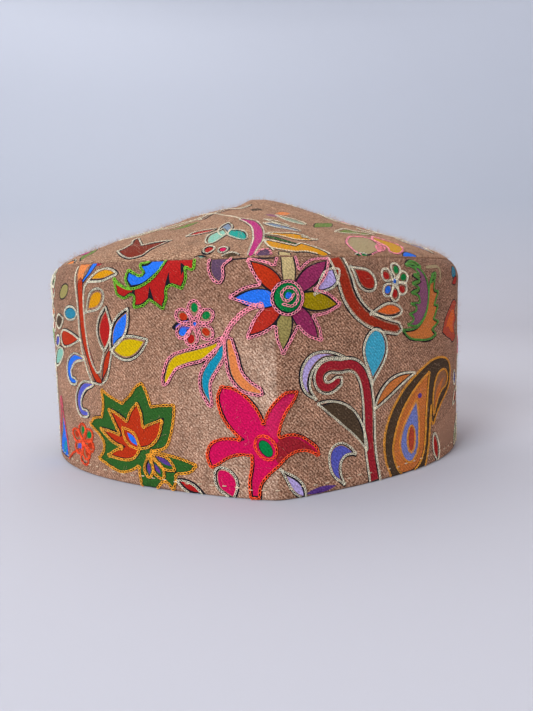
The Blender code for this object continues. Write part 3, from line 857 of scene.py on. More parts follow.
def stretches(path, inside, closed):
    # the parts of a path whose points all lie inside
    if inside.all():
        return [(path, closed)]
    if not inside.any():
        return []
    if closed:
        first = int(np.argmin(inside))
        path, inside = np.roll(path, -first, 0), np.roll(inside, -first)
    ends = np.flatnonzero(np.diff(np.concatenate([[0], inside.astype(int), [0]])))
    return [(path[a:b], False) for a, b in zip(ends[::2], ends[1::2]) if b - a > 1]


def clockwise(outline):
    x, y = outline.T
    return np.sum(x * np.roll(y, -1) - np.roll(x, -1) * y) < 0


def printLines(shape):
    # the edges of the printed line and fill, for the triangles to follow
    path, closed = shape["outline"] + shape["slip"], shape["closed"]
    if closed and clockwise(path):
        path = path[::-1]
    ink = shape["ink"][::-1] if closed and clockwise(shape["outline"]) else shape["ink"]
    inked = ink.max() > 0
    lines = [besidePath(path, ink, closed), besidePath(path, -ink, closed)] if inked else [path]
    if closed and shape["paint"] and shape["gap"] > ink.min():
        lines.append(besidePath(path, np.full(len(path), shape["gap"]), closed))
    return [(one, closed) for one in lines]


def distanceTo(points, path, closed):
    # from each point to the path, where on the path that is, and whether the point lies inside
    a = path if closed else path[:-1]
    b = np.roll(path, -1, 0) if closed else path[1:]
    way = b - a
    size = np.maximum((way**2).sum(1), 1e-12)
    offset = points[:, None] - a[None]
    t = np.clip((offset * way).sum(2) / size, 0, 1)
    every = ((offset - t[..., None] * way) ** 2).sum(2)
    nearest = every.argmin(1)
    near = np.sqrt(every[np.arange(len(points)), nearest])
    if not closed:
        return near, nearest, np.zeros(len(points), bool)
    spans = (a[None, :, 1] > points[:, None, 1]) != (b[None, :, 1] > points[:, None, 1])
    rise = np.where(np.abs(way[:, 1]) < 1e-12, 1e-12, way[:, 1])
    crossing = a[:, 0] + (points[:, None, 1] - a[:, 1]) / rise * way[:, 0]
    return near, nearest, (np.sum(spans & (points[:, None, 0] < crossing), 1) % 2).astype(bool)


widestInk = 1.6


def printedColours(centres, shapes):
    colours = np.zeros((len(centres), 4))
    ink = np.append(linear(paints["ink"]), 1)
    for shape in shapes:
        path = shape["outline"] + shape["slip"]
        low, high = path.min(0) - widestInk, path.max(0) + widestInk
        some = np.flatnonzero(((centres > low) & (centres < high)).all(1))
        if not len(some):
            continue
        near, nearest, within = distanceTo(centres[some], path, shape["closed"])
        if shape["paint"]:
            colours[some[within]] = 0
            colours[some[within & (near > shape["gap"])]] = np.append(linear(paints[shape["paint"]]), 1)
        # the printed line; under the stitches it also stands as painted shade in the chain's holes
        colours[some[near < shape["ink"][nearest]]] = ink
    return colours


def joined(places, atEnd, faces):
    # the chart's ends lie in the same place, and become the same points there; the small shift
    # keeps a coordinate off the middle between two tenths
    kept, first = np.arange(len(places)), {}
    for i in np.flatnonzero(atEnd):
        kept[i] = first.setdefault(tuple(np.round(places[i] + 0.0037, 1)), i)
    used, faces = np.unique(kept[faces], return_inverse=True)
    return places[used], faces.reshape(-1, 3)


def printedCloth(name, surface, grid, shapes, lineTest, paintTest, endTest):
    # cuts a cloth into triangles that follow the printed lines, and paints them; the tests say
    # which of the chart's points may have lines, have paint, and lie at the chart's ends
    points, edges = [tuple(p) for p in grid], []
    for shape in shapes:
        for path, closed in printLines(shape):
            for run, whole in stretches(path, lineTest(path), closed):
                first = len(points)
                points += [tuple(p) for p in run]
                edges += [(first + i, first + i + 1) for i in range(len(run) - 1)]
                if whole:
                    edges.append((len(points) - 1, first))
    places, _, faces = delaunay_2d_cdt([Vector(p) for p in points], edges, [], 0, 1e-3, False)[:3]
    chart = np.array([tuple(p) for p in places])
    faces = np.array([f for f in faces if len(f) == 3])
    a, b, c = chart[faces[:, 0]], chart[faces[:, 1]], chart[faces[:, 2]]
    area = (b[:, 0] - a[:, 0]) * (c[:, 1] - a[:, 1]) - (c[:, 0] - a[:, 0]) * (b[:, 1] - a[:, 1])
    thick = np.abs(area) > 1e-5
    faces, turned = faces[thick], area[thick] < 0
    faces[turned] = faces[turned][:, ::-1]
    centres = chart[faces].mean(1)
    colours = np.zeros((len(faces), 4))
    some = paintTest(centres)
    colours[some] = printedColours(centres[some], shapes)

    places, solid = joined(surface(chart[:, 0], chart[:, 1]), endTest(chart), faces)
    whole = (solid[:, 0] != solid[:, 1]) & (solid[:, 1] != solid[:, 2]) & (solid[:, 2] != solid[:, 0])
    solid, faces, colours = solid[whole], faces[whole], colours[whole]
    mesh = bpy.data.meshes.new(name)
    mesh.from_pydata((places * mm).tolist(), [], solid.tolist())
    normals = normalOf(surface, chart[:, 0], chart[:, 1])
    paint = mesh.color_attributes.new("paint", "FLOAT_COLOR", "CORNER")
    paint.data.foreach_set("color", np.repeat(colours, 3, 0).ravel())
    layer = mesh.uv_layers.new(name="cloth")
    layer.data.foreach_set("uv", (chart[faces.ravel()] * 0.01).ravel())
    mesh.shade_smooth()
    corners = normals[faces.ravel()]
    mesh.normals_split_custom_set(corners.tolist())
    piece = bpy.data.objects.new(name, mesh)
    bpy.context.scene.collection.objects.link(piece)
    print(name, len(faces), "triangles")
    return piece


def bandGrid():
    spread = np.arange(-halfRound, halfRound + 0.01, 2 * halfRound / 192)
    near = np.arange(-9, 9.1, 0.75)
    u = np.concatenate([spread, near, halfRound + near[near < 0], -halfRound + near[near > 0]])
    u = np.unique(np.round(np.clip(u, -halfRound, halfRound), 3))
    u[0], u[-1] = -halfRound, halfRound
    u = u[np.concatenate([[True], np.diff(u) > 0.2])]
    wall = np.arange(1, shoulderStart, 3.6)
    inner = np.linspace(profileH[-2] + 5, profileH[-1], 6)
    foot = np.linspace(profileH[0], profileH[1] - 4, 6)
    h = np.unique(np.round(np.concatenate([profileH, wall, foot, inner]), 3))
    return np.stack(np.meshgrid(u, h), -1).reshape(-1, 2)


def crownGrid():
    x = np.concatenate([np.arange(-96, 97, 3.0), np.arange(-10.5, 11, 1.5)])
    flat = np.stack(np.meshgrid(np.unique(x), np.arange(-90, 91, 3.0)), -1).reshape(-1, 2)
    seam = seamReach(*flat.T)
    flat = flat[np.hypot(*flat.T) / seam < 0.95]
    spokes = np.linspace(-math.pi, math.pi, 181)[:-1]
    near = np.radians(np.arange(-5, 5.1, 0.5))
    behind = [near[near > 0] - math.pi, near[near <= 0] + math.pi]
    spokes = np.unique(np.round(np.concatenate([spokes, near, *behind]), 5))
    lip = np.linspace(crownTurnShare, crownUnderShare, 12)
    rings = np.concatenate([[0.958, 0.97, 0.98], lip, [crownUnderShare + 0.03]])
    under = np.linspace(crownUnderShare + 0.1, crownEndShare, 9)
    out = [flat]
    for rho, angles in [(r, spokes) for r in rings] + [(r, spokes[::2]) for r in under]:
        reach = rho * np.interp(angles, seamAngles, seamRadii)
        out.append(np.stack([np.sin(angles) * reach, -np.cos(angles) * reach], -1))
    return np.vstack(out)


def crownShare(points):
    return np.hypot(*points.T) / seamReach(*points.T)


def bandWithin(points, reach, low, high):
    # closer than that to the front crease, and between two heights
    return (np.abs(points[:, 0]) < reach) & (points[:, 1] > low) & (points[:, 1] < high)


bandCloth = printedCloth(
    "band_cloth_printed", bandPlain, bandGrid(), bandShapes,
    lambda p: bandWithin(p, halfRound - 0.4, -2.5, outerTop + 2),
    lambda p: bandWithin(p, math.inf, -2.2, outerTop + 0.3),
    lambda p: ~bandWithin(p, halfRound - 0.01, profileH[0] + 0.01, profileH[-1] - 0.01))
crownCloth = printedCloth(
    "crown_cloth_printed", crownPlain, crownGrid(), crownShapes,
    lambda p: crownShare(p) < crownUnderShare - 0.005,
    lambda p: crownShare(p) < crownTurnShare + 0.001,
    lambda p: crownShare(p) > crownEndShare - 0.003)


# Short ways to add and join nodes, of materials and of trees that grow one mesh over another

class Nodes:
    def __init__(self, tree):
        self.tree = tree
        tree.nodes.clear()

    def put(self, socket, value):
        if isinstance(value, bpy.types.NodeSocket):
            self.tree.links.new(value, socket)
        else:
            socket.default_value = value

    def add(self, kind, inputs=None, **settings):
        node = self.tree.nodes.new(kind)
        for name, value in settings.items():
            setattr(node, name, value)
        for key, value in (inputs or {}).items():
            self.put(node.inputs[key], value)
        return node

    def calc(self, operation, a, b=0.0, c=0.0):
        return self.add("ShaderNodeMath", {0: a, 1: b, 2: c}, operation=operation).outputs[0]

    def noise(self, place, scale, detail, roughness=0.5):
        inputs = {"Vector": place, "Scale": scale, "Detail": detail, "Roughness": roughness}
        return self.add("ShaderNodeTexNoise", inputs).outputs[0]

    def ramp(self, value, stops):
        node = self.add("ShaderNodeValToRGB", {0: value})
        while len(node.color_ramp.elements) < len(stops):
            node.color_ramp.elements.new(0.5)
        for element, (place, colour) in zip(node.color_ramp.elements, stops):
            element.position = place
            element.color = (*colour, 1) if hasattr(colour, "__len__") else (colour, colour, colour, 1)
        return node.outputs[0]

    def mix(self, share, a, b, blend="MIX"):
        node = self.add("ShaderNodeMix", data_type="RGBA", blend_type=blend)
        for key, value in ((0, share), (6, a), (7, b)):
            self.put(node.inputs[key], (*value, 1) if isinstance(value, tuple) else value)
        return node.outputs[2]

    def bump(self, height, strength, distance):
        inputs = {"Height": height, "Strength": strength, "Distance": distance}
        return self.add("ShaderNodeBump", inputs).outputs[0]

    def surface(self, colour, roughness, specular, **others):
        inputs = {"Base Color": colour, "Roughness": roughness, "Specular IOR Level": specular}
        inputs.update({name.replace("_", " "): value for name, value in others.items()})
        shader = self.add("ShaderNodeBsdfPrincipled", inputs)
        self.add("ShaderNodeOutputMaterial", {0: shader.outputs[0]})

    def turned(self, facing, reach, spin, seed):
        # facing, turned at random by up to reach about X and Y, and between the two of spin about Z
        least = {"X": self.calc("MULTIPLY", reach, -1), "Z": spin[0]}
        least["Y"] = least["X"]
        most = {"X": reach, "Y": reach, "Z": spin[1]}
        ends = {"Min": self.add("ShaderNodeCombineXYZ", least).outputs[0],
                "Max": self.add("ShaderNodeCombineXYZ", most).outputs[0], "Seed": seed}
        tilt = self.add("FunctionNodeRandomValue", ends, data_type="FLOAT_VECTOR").outputs[0]
        euler = self.add("FunctionNodeEulerToRotation", {0: tilt}).outputs[0]
        inputs = {"Rotation": facing, "Rotate By": euler}
        return self.add("FunctionNodeRotateRotation", inputs, rotation_space="LOCAL").outputs[0]

    def layOut(self, points, rotation, scale, given):
        # the template on every point, made real
        shape = self.add("GeometryNodeObjectInfo", {"Object": given["Template"]}).outputs["Geometry"]
        inputs = {"Points": points, "Instance": shape, "Rotation": rotation, "Scale": scale}
        laid = self.add("GeometryNodeInstanceOnPoints", inputs).outputs["Instances"]
        real = self.add("GeometryNodeRealizeInstances", {"Geometry": laid}).outputs["Geometry"]
        inputs = {"Geometry": real, "Material": given["Material"]}
        coloured = self.add("GeometryNodeSetMaterial", inputs).outputs["Geometry"]
        self.add("NodeGroupOutput", {"Geometry": coloured})


def growingTree(name, floats):
    # an empty tree that takes a mesh, those numbers, a seed, a template and a material
    tree = bpy.data.node_groups.new(name, "GeometryNodeTree")
    kinds = {"Geometry": "Geometry", **dict.fromkeys(floats, "Float"), "Seed": "Int",
             "Template": "Object", "Material": "Material"}
    names = {}
    for label, kind in kinds.items():
        socket = tree.interface.new_socket(label, in_out="INPUT", socket_type="NodeSocket" + kind)
        names[label] = socket.identifier
    tree.interface.new_socket("Geometry", in_out="OUTPUT", socket_type="NodeSocketGeometry")
    n = Nodes(tree)
    return n, n.add("NodeGroupInput").outputs, names


def grown(name, mesh, tree, names, values):
    # runs a tree once on a mesh, and keeps the plain mesh of quads that it makes
    piece = bpy.data.objects.new(name, mesh)
    objects = bpy.context.scene.collection.objects
    for one in (piece, values["Template"]):
        objects.link(one)
    layer = piece.modifiers.new("growth", "NODES")
    layer.node_group = tree
    for label, value in values.items():
        layer[names[label]] = value
    done = piece.evaluated_get(bpy.context.evaluated_depsgraph_get())
    made = bpy.data.meshes.new_from_object(done)
    piece.modifiers.clear()
    piece.data = made
    objects.unlink(values["Template"])
    print(name, len(made.polygons) * 2, "triangles")
    return piece


# Stitches, laid one after another along a path

def tubeMesh(name, centres, radius, sides, closed):
    centres = np.array(centres, float)
    count = len(centres)
    if closed:
        way = np.roll(centres, -1, 0) - np.roll(centres, 1, 0)
    else:
        way = np.gradient(centres, axis=0)
    way /= np.linalg.norm(way, axis=1, keepdims=True)
    side = np.cross(way, (0, 0, 1))
    side /= np.linalg.norm(side, axis=1, keepdims=True)
    up = np.cross(side, way)
    radii = np.broadcast_to(radius, (count,))
    angles = np.arange(sides) / sides * 2 * math.pi + math.pi / sides
    c, s = np.cos(angles)[:, None], np.sin(angles)[:, None]
    rings = [p + r * (c * a + s * b) for p, a, b, r in zip(centres, side, up, radii)]
    faces = []
    for i in range(count if closed else count - 1):
        j = (i + 1) % count
        for k in range(sides):
            n = (k + 1) % sides
            faces.append((i * sides + k, j * sides + k, j * sides + n, i * sides + n))
    mesh = bpy.data.meshes.new(name)
    mesh.from_pydata((np.vstack(rings) * mm).tolist(), [], faces)
    mesh.shade_smooth()
    return bpy.data.objects.new(name, mesh)


def chainLink(radius):
    # a loop of thread, narrow where it comes up, wide and high where it lies over the next
    length, half = stitch["pitch"] * 1.2, stitch["width"] / 2 - radius
    steps = ((-0.06, 0, -0.10), (0.2, 0.66, 0.10), (0.52, 1.0, 0.20), (0.84, 0.74, 0.30),
             (1.0, 0, 0.34), (0.84, -0.74, 0.30), (0.52, -1.0, 0.20), (0.2, -0.66, 0.10))
    centres = [(length * (a - 0.5), half * b, c) for a, b, c in steps]
    return tubeMesh("chain_link", centres, radius, 4, True)


def runningStitch():
    half = stitch["hemLength"] / 2
    steps = {-1: 0.1, -0.8: 0.18, -0.4: 0.22, 0: 0.23, 0.4: 0.22, 0.8: 0.18, 1: 0.1}
    centres = [(half * a, 0, 0.16 * math.cos(a * 1.9)) for a in steps]
    return tubeMesh("running_stitch", centres, np.array(list(steps.values())), 6, False)


def stitchTree():
    n, given, names = growingTree("stitches_along_path", ("Pitch", "Size", "Unevenness", "Sway"))
    curve = n.add("GeometryNodeMeshToCurve", {"Mesh": given["Geometry"]}).outputs["Curve"]
    spacing = {"Curve": curve, "Length": given["Pitch"]}
    spaced = n.add("GeometryNodeResampleCurve", spacing, mode="LENGTH").outputs["Curve"]
    outward = n.add("GeometryNodeInputNamedAttribute", {"Name": "outward"}, data_type="FLOAT_VECTOR")
    axes = {"Primary Axis": outward.outputs["Attribute"],
            "Secondary Axis": n.add("GeometryNodeInputTangent").outputs["Tangent"]}
    facing = n.add("FunctionNodeAxesToRotation", axes, primary_axis="Z", secondary_axis="X").outputs[0]
    sway = given["Sway"]
    rotation = n.turned(facing, sway, (n.calc("MULTIPLY", sway, -1), sway), given["Seed"])
    sizes = {"Min": n.calc("SUBTRACT", given["Size"], given["Unevenness"]),
             "Max": n.calc("ADD", given["Size"], given["Unevenness"]), "Seed": given["Seed"]}
    size = n.add("FunctionNodeRandomValue", sizes, data_type="FLOAT_VECTOR").outputs[0]
    n.layOut(spaced, rotation, size, given)
    return n.tree, names


stitching = stitchTree()


def evenly(path, spacing, closed):
    # the same path through points at even distances
    if closed:
        path = np.vstack([path, path[:1]])
    along = np.concatenate([[0], np.cumsum(np.linalg.norm(np.diff(path, axis=0), axis=1))])
    count = max(2, math.ceil(along[-1] / spacing))
    at = np.linspace(0, along[-1], count + 1)
    if closed:
        at = at[:-1]
    return np.stack([np.interp(at, along, path[:, k]) for k in (0, 1)], -1)


def stitchedPiece(name, runs, surface, lift, template, material, values):
    # runs are (path, closed) on a chart; the tree lays the template along each of them
    places, normals, edges, first = [], [], [], 0
    for path, closed in runs:
        normal = normalOf(surface, path[:, 0], path[:, 1])
        places.append(surface(path[:, 0], path[:, 1]) + normal * lift)
        normals.append(normal)
        last = first + len(path) - 1
        edges += [(i, i + 1) for i in range(first, last)]
        if closed:
            edges.append((last, first))
        first = last + 1
    mesh = bpy.data.meshes.new(name + "_path")
    mesh.from_pydata((np.vstack(places) * mm).tolist(), edges, [])
    outward = mesh.attributes.new("outward", "FLOAT_VECTOR", "POINT")
    outward.data.foreach_set("vector", np.vstack(normals).ravel())
    return grown(name, mesh, *stitching, {**values, "Template": template, "Material": material})


# Materials

cloth = {
    "twillPitch": 1.05,      # between the slanting ridges of the weave
    "twillDepth": 0.12,
    "dark": (0.100, 0.044, 0.025),
    "middle": (0.312, 0.150, 0.087),
    "light": (0.640, 0.385, 0.250),
    # painted shade: the cloth is darker towards the seam on the band, and towards the back on the
    # crown; a share of 100 mm up the band or back across the crown, and a colour
    "crownShade": ((0.0, (0.98, 1.02, 0.99)), (1.0, (0.91, 0.93, 0.89))),
    "bandShade": ((0.35, (1.0, 0.99, 0.99)), (0.60, (0.91, 0.89, 0.88)), (0.86, (0.74, 0.71, 0.71))),
    # paler, greyer cloth on the lit side of the front crease: dust, and painted light from the lamp on
    # that side
    "wearTint": (1.48, 1.81, 2.05),
    "wearAround": ((0.02, 0.0), (0.24, 0.42), (0.42, 0.74), (0.475, 1.0), (0.495, 1.0), (0.503, 0.0)),
    "wearUp": ((0.0, 0.60), (0.25, 0.90), (0.36, 1.0), (0.52, 1.0), (0.62, 0.35), (0.74, 0.0)),
    # how strongly the wool's tones differ, from the left to the right
    "calmOnBand": ((0.0, 0.66), (0.49, 0.66), (0.525, 1.0)),
    "calmOnCrown": ((0.45, 0.64), (0.95, 0.46)),
}


def newMaterial(name):
    material = bpy.data.materials.new(name)
    material.use_nodes = True
    return material, Nodes(material.node_tree)


def clothMaterial(name, shadeOver, calm):
    material, n = newMaterial(name)
    flat = n.add("ShaderNodeUVMap", uv_map="cloth").outputs[0]
    chart = n.add("ShaderNodeVectorMath", {0: flat, 3: 100.0}, operation="SCALE").outputs[0]
    axes = n.add("ShaderNodeSeparateXYZ", {0: chart})
    u, h = axes.outputs[0], axes.outputs[1]
    aroundShare, upShare = n.calc("MULTIPLY_ADD", u, 0.01, 0.5), n.calc("MULTIPLY", h, 0.01)

    # the slanting weave
    across = n.calc("MULTIPLY", n.calc("ADD", u, h), math.sqrt(0.5))
    along = n.calc("MULTIPLY", n.calc("SUBTRACT", u, h), math.sqrt(0.5))
    wander = n.calc("MULTIPLY", n.noise(chart, 0.12, 2.0), 3.0)
    phase = n.calc("MULTIPLY_ADD", across, 2 * math.pi / cloth["twillPitch"], wander)
    ridge = n.calc("MULTIPLY_ADD", n.calc("SINE", phase), 0.5, 0.5)
    under = n.calc("SINE", n.calc("MULTIPLY_ADD", along, 5.2, n.calc("MULTIPLY", phase, 0.5)))
    floats = n.calc("MULTIPLY_ADD", under, 0.5, 0.5)

    # the wool's tones
    slanted = {0: n.calc("MULTIPLY", across, 1.8), 1: n.calc("MULTIPLY", along, 1.1)}
    fibres = n.noise(n.add("ShaderNodeCombineXYZ", slanted).outputs[0], 1.0, 1.0)
    flecks = n.noise(chart, 1.7, 1.5, 0.6)
    broad = n.noise(chart, 0.10, 3.0)
    heather = n.calc("MULTIPLY_ADD", fibres, 0.45, n.calc("MULTIPLY", flecks, 0.55))
    heather = n.calc("ADD", heather, n.calc("MULTIPLY", n.calc("SUBTRACT", ridge, 0.5), 0.08))
    contrast = n.ramp(aroundShare, cloth[calm])
    heather = n.calc("MULTIPLY_ADD", n.calc("SUBTRACT", heather, 0.5), contrast, 0.5)
    tones = ((0.385, cloth["dark"]), (0.50, cloth["middle"]), (0.620, cloth["light"]))
    ground = n.ramp(heather, tones)
    blotches = n.noise(chart, 0.42, 1.0)
    ground = n.mix(1.0, ground, n.ramp(broad, ((0.3, 0.82), (0.7, 1.15))), "MULTIPLY")
    ground = n.mix(1.0, ground, n.ramp(blotches, ((0.3, 0.80), (0.7, 1.18))), "MULTIPLY")
    if shadeOver == "bandShade":
        # dust and painted light: paler, bluer cloth on the lit side of the front crease
        dustAndPaintedLight = n.calc("MULTIPLY", n.ramp(aroundShare, cloth["wearAround"]),
                      n.ramp(upShare, cloth["wearUp"]))
        dustAndPaintedLight = n.calc("MULTIPLY", dustAndPaintedLight, n.ramp(broad, ((0.35, 0.7), (0.65, 1.0))))
        ground = n.mix(dustAndPaintedLight, ground, n.mix(1.0, ground, cloth["wearTint"], "MULTIPLY"))
    # painted shade: darker towards the band's seam and the crown's back
    ground = n.mix(1.0, ground, n.ramp(upShare, cloth[shadeOver]), "MULTIPLY")

    # the paint, thin over the weave
    painted = n.add("ShaderNodeAttribute", attribute_name="paint", attribute_type="GEOMETRY")
    worn = n.ramp(heather, ((0.385, 0.56), (0.50, 0.86), (0.620, 1.18)))
    printed = n.mix(1.0, painted.outputs["Color"], worn, "MULTIPLY")
    rubbed = n.ramp(heather, ((0.60, 0.0), (0.74, 0.20)))
    printed = n.mix(rubbed, printed, cloth["light"])
    colour = n.mix(painted.outputs["Alpha"], ground, printed)
    relief = n.calc("MULTIPLY", n.calc("MULTIPLY", ridge, floats), 0.4)
    relief = n.calc("MULTIPLY_ADD", ridge, 0.3, relief)
    relief = n.calc("MULTIPLY_ADD", heather, 2.0, relief)
    bump = n.bump(relief, 0.5, cloth["twillDepth"] * mm)
    n.surface(colour, 0.95, 0.05, Normal=bump, Sheen_Weight=0.03, Sheen_Roughness=0.5)
    return material


def threadMaterial(name, colour):
    material, n = newMaterial("thread_" + name)
    place = n.add("ShaderNodeTexCoord").outputs["Object"]
    shade = n.ramp(n.noise(place, 1100.0, 2.0), ((0.34, 0.66), (0.66, 1.34)))
    tone = n.mix(1.0, tuple(linear(colour)), shade, "MULTIPLY")
    bump = n.bump(n.noise(place, 5200.0, 2.0), 0.6, 0.06 * mm)
    n.surface(tone, 0.8, 0.2, Normal=bump, Sheen_Weight=0.15, Sheen_Roughness=0.5)
    return material


bandCloth.data.materials.append(clothMaterial("band_twill", "bandShade", "calmOnBand"))
crownCloth.data.materials.append(clothMaterial("crown_twill", "crownShade", "calmOnCrown"))
threadMaterials = {name: threadMaterial(name, colour) for name, (colour, _, _) in threads.items()}


# The embroidery

def chainRuns(shapes, thread, test):
    # what is stitched with that thread, where the test allows it
    runs = []
    for shape in shapes:
        if shape["thread"] != thread:
            continue
        path = evenly(shape["outline"], stitch["pathSpacing"], shape["closed"])
        for run, closed in stretches(path, test(path), shape["closed"]):
            if len(run) > stitch["shortestRun"]:
                runs.append((run, closed))
    return runs


def onFront(points):
    return bandWithin(points, stitch["frontReach"], stitch["lowest"], outerTop - stitch["seamMargin"])


def onBack(points):
    inside = bandWithin(points, halfRound, stitch["lowest"], outerTop - stitch["seamMargin"])
    return inside & ~onFront(points)


def onCrown(points):
    return crownShare(points) < crownTurnShare - 0.006


stitchPieces = []
sides = (
    # name, surface, shapes, where they lie, size of the stitches, spacing
    ("front", bandPlain, bandShapes, onFront, 1, 1),
    ("back", bandPlain, bandShapes, onBack, 1, 1),
    ("crown", crownPlain, crownShapes, onCrown, 0.8, 1.35),
)
for number, (thread, (_, size, radius)) in enumerate(threads.items()):
    for side, surface, shapes, test, scale, spacing in sides:
        runs = chainRuns(shapes, thread, test)
        if runs:
            values = {"Pitch": stitch["pitch"] * mm * (size * scale) * spacing, "Size": size * scale,
                      "Unevenness": 0.12, "Sway": 0.15, "Seed": number}
            stitchPieces.append(stitchedPiece(
                f"chain_{thread}_{side}", runs, surface, stitch["lift"], chainLink(radius),
                threadMaterials[thread], values))

hemU = np.arange(-halfRound + 1, halfRound - 1, 1.0)
hemH = stitch["hemHeight"] + 0.25 * np.sin(hemU * 0.21) + 0.15 * np.sin(hemU * 0.77)
hemValues = {"Pitch": stitch["hemPitch"] * mm, "Size": 1.0, "Unevenness": 0.12, "Sway": 0.07, "Seed": 5}
stitchPieces.append(stitchedPiece(
    "hem_stitches", [(np.stack([hemU, hemH], -1), False)], bandPlain, stitch["hemLift"],
    runningStitch(), threadMaterials["hem"], hemValues))


# Loose wool fibres standing off the cloth

fuzz = {
    "colour": (186, 146, 118),
    "length": 2.8,
    "width": 0.085,
    "lean": 0.9,             # radians at most
    "smallest": 0.35,        # share of the full length
    "onBand": 90000.0,       # fibres to the square metre
    "onCrown": 430000.0,
    "bandGrid": (260, 29),   # columns and rows of the surface that they grow from
    "crownGrid": (180, 24),
    "lowest": 3.4,
}


def fibre():
    half, length = fuzz["width"] / 2, fuzz["length"]
    steps = ((0, 0), (0.5, 0.05), (0.86, 0.24), (1.0, 0.5))
    points = [(side * half * (1 - 0.6 * up), out * length, up * length)
              for up, out in steps for side in (-1, 1)]
    faces = [(2 * i, 2 * i + 1, 2 * i + 3, 2 * i + 2) for i in range(len(steps) - 1)]
    mesh = bpy.data.meshes.new("fibre")
    mesh.from_pydata((np.array(points) * mm).tolist(), [], faces)
    return bpy.data.objects.new("fibre", mesh)


def fuzzTree():
    n, given, names = growingTree("fibres_over_cloth", ("Density", "Lean"))
    inputs = {"Mesh": given["Geometry"], "Density": given["Density"], "Seed": given["Seed"]}
    spread = n.add("GeometryNodeDistributePointsOnFaces", inputs).outputs
    rotation = n.turned(spread["Rotation"], given["Lean"], (0, 2 * math.pi), given["Seed"])
    size = n.add("FunctionNodeRandomValue", {2: fuzz["smallest"], 3: 1.0}, data_type="FLOAT").outputs[1]
    n.layOut(spread["Points"], rotation, size, given)
    return n.tree, names


def fuzzPiece(name, surface, x, y, density, seed):
    # x and y are a grid of chart points over the cloth's outer face
    rows, columns = x.shape
    faces = [(r * columns + c, r * columns + c + 1, (r + 1) * columns + c + 1, (r + 1) * columns + c)
             for r in range(rows - 1) for c in range(columns - 1)]
    mesh = bpy.data.meshes.new(name)
    mesh.from_pydata((surface(x.ravel(), y.ravel()) * mm).tolist(), [], faces)
    values = {"Density": density, "Lean": fuzz["lean"], "Seed": seed, "Template": strand,
              "Material": wool}
    return grown(name, mesh, *fuzzing, values)


fuzzing = fuzzTree()
strand, wool = fibre(), threadMaterial("wool", fuzz["colour"])
columns, rows = fuzz["bandGrid"]
bandU, bandH = np.meshgrid(np.linspace(-halfRound, halfRound, columns),
                           np.linspace(fuzz["lowest"], outerTop - 0.3, rows))
columns, rows = fuzz["crownGrid"]
spin, share = np.meshgrid(np.linspace(math.pi, -math.pi, columns),
                          np.linspace(0.02, crownTurnShare, rows))
reach = share * np.interp(spin, seamAngles, seamRadii)
crownX, crownY = np.sin(spin) * reach, -np.cos(spin) * reach
fuzzPieces = [fuzzPiece("wool_fibres_band", bandPlain, bandU, bandH, fuzz["onBand"], 3),
              fuzzPiece("wool_fibres_crown", crownPlain, crownX, crownY, fuzz["onCrown"], 4)]


# Joining the pieces to the part

for piece in [bandCloth, crownCloth, *stitchPieces, *fuzzPieces]:
    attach(piece, "root")
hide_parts("side_band")
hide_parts("crown")


# The floor and backdrop, one bowl all round

backdrop = {
    "floorRadius": 0.75,
    "bend": 0.55,
    "wallHeight": 1.1,
    "around": 72,            # faces round the bowl
    # heights in metres and the paper's colours there; the wall's lighter colours higher up are painted
    # light
    "stops": ((0.0, (0.532, 0.508, 0.536)), (0.25, (0.480, 0.496, 0.550)),
              (0.7, (0.606, 0.618, 0.674))),
}


def bowlMesh():
    floor, bend, around = backdrop["floorRadius"], backdrop["bend"], backdrop["around"]
    rows = [(r, 0.0) for r in (0.12, 0.3, 0.5, floor)]
    for a in np.linspace(0, math.pi / 2, 15)[1:]:
        rows.append((floor + bend * math.sin(a), bend * (1 - math.cos(a))))
    rows.append((rows[-1][0], bend + backdrop["wallHeight"]))
    angles = [k / around * 2 * math.pi for k in range(around)]
    points = [(radius * math.cos(a), radius * math.sin(a), z) for radius, z in rows for a in angles]
    points.append((0, 0, 0))
    faces = []
    for k in range(around):
        n = (k + 1) % around
        faces.append((len(points) - 1, k, n))
        faces += [(i + k, i + around + k, i + around + n, i + n)
                  for i in range(0, (len(rows) - 1) * around, around)]
    mesh = bpy.data.meshes.new("backdrop")
    mesh.from_pydata(points, [], faces)
    mesh.shade_smooth()
    return mesh


def backdropMaterial():
    material, n = newMaterial("backdrop_paper")
    place = n.add("ShaderNodeSeparateXYZ", {0: n.add("ShaderNodeTexCoord").outputs["Object"]})
    # the paper's colour by height, its lightening up the wall painted light
    n.surface(n.ramp(place.outputs[2], backdrop["stops"]), 0.85, 0.2)
    return material


bowl = bpy.data.objects.new("backdrop", bowlMesh())
bowl.data.materials.append(backdropMaterial())
bpy.context.scene.collection.objects.link(bowl)


# Camera and light

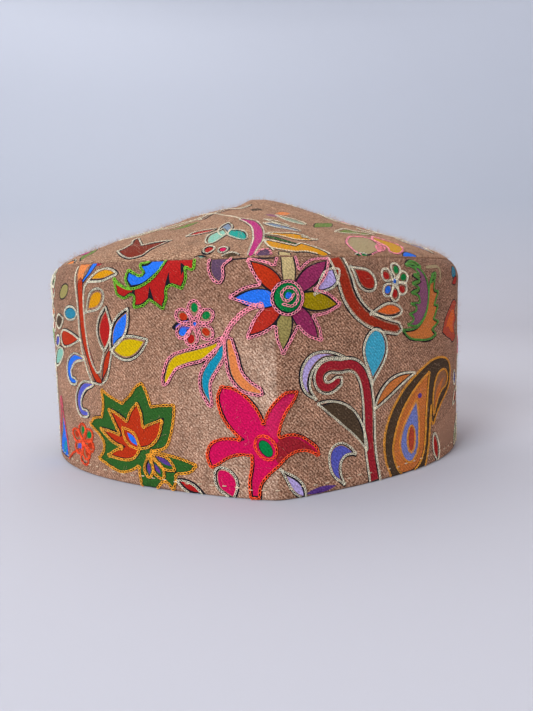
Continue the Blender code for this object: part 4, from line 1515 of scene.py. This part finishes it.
camera = {
    "place": (-0.0199, -0.2999, 0.0772),
    "yaw": math.radians(-4.561),
    "pitch": math.radians(6.88),
    "roll": math.radians(-1.036),
    "lens": 30.39,
}
room = {
    "colour": (1.0, 0.95, 0.93),
    "strength": 0.52,
}
lamps = (
    # name, place, aim, size, watts, colour
    ("key", (-0.75, -0.88, 0.72), (0, 0, 0.05), 0.6, 14.4, (0.85, 0.98, 1.09)),
    ("fill", (0.90, -0.60, 0.35), (0, 0, 0.05), 0.8, 1.8, (1.0, 0.74, 0.58)),
    ("top", (-0.20, 0.55, 1.0), (-0.15, 0.35, 0), 1.2, 7.0, (0.96, 0.98, 1.0)),
)


def placeCamera():
    yaw, pitch, roll = camera["yaw"], camera["pitch"], camera["roll"]
    forward = Vector((-math.sin(yaw) * math.cos(pitch), math.cos(yaw) * math.cos(pitch),
                      -math.sin(pitch)))
    right = forward.cross(Vector((0, 0, 1))).normalized()
    up = right.cross(forward)
    tilted = right * math.cos(roll) + up * math.sin(roll)
    upright = up * math.cos(roll) - right * math.sin(roll)
    data = bpy.data.cameras.new("camera")
    data.lens = camera["lens"]
    data.sensor_width = 36
    data.clip_start = 0.01
    eye = bpy.data.objects.new("camera", data)
    turn = Matrix((tilted, upright, -forward)).transposed().to_4x4()
    eye.matrix_world = Matrix.Translation(Vector(camera["place"])) @ turn
    bpy.context.scene.collection.objects.link(eye)
    bpy.context.scene.camera = eye


placeCamera()
for name, place, aim, size, watts, colour in lamps:
    data = bpy.data.lights.new(name, "AREA")
    data.shape = "DISK"
    data.size = size
    data.energy = watts
    data.color = colour
    lamp = bpy.data.objects.new(name, data)
    lamp.location = place
    lamp.rotation_euler = (Vector(aim) - Vector(place)).to_track_quat("-Z", "Y").to_euler()
    lamp.visible_camera = False
    bpy.context.scene.collection.objects.link(lamp)

world = bpy.data.worlds.new("room")
world.use_nodes = True
sky = world.node_tree.nodes["Background"].inputs
sky["Color"].default_value = (*room["colour"], 1)
sky["Strength"].default_value = room["strength"]
bpy.context.scene.world = world
bpy.context.scene.view_settings.view_transform = "Standard"

print("scene ready")
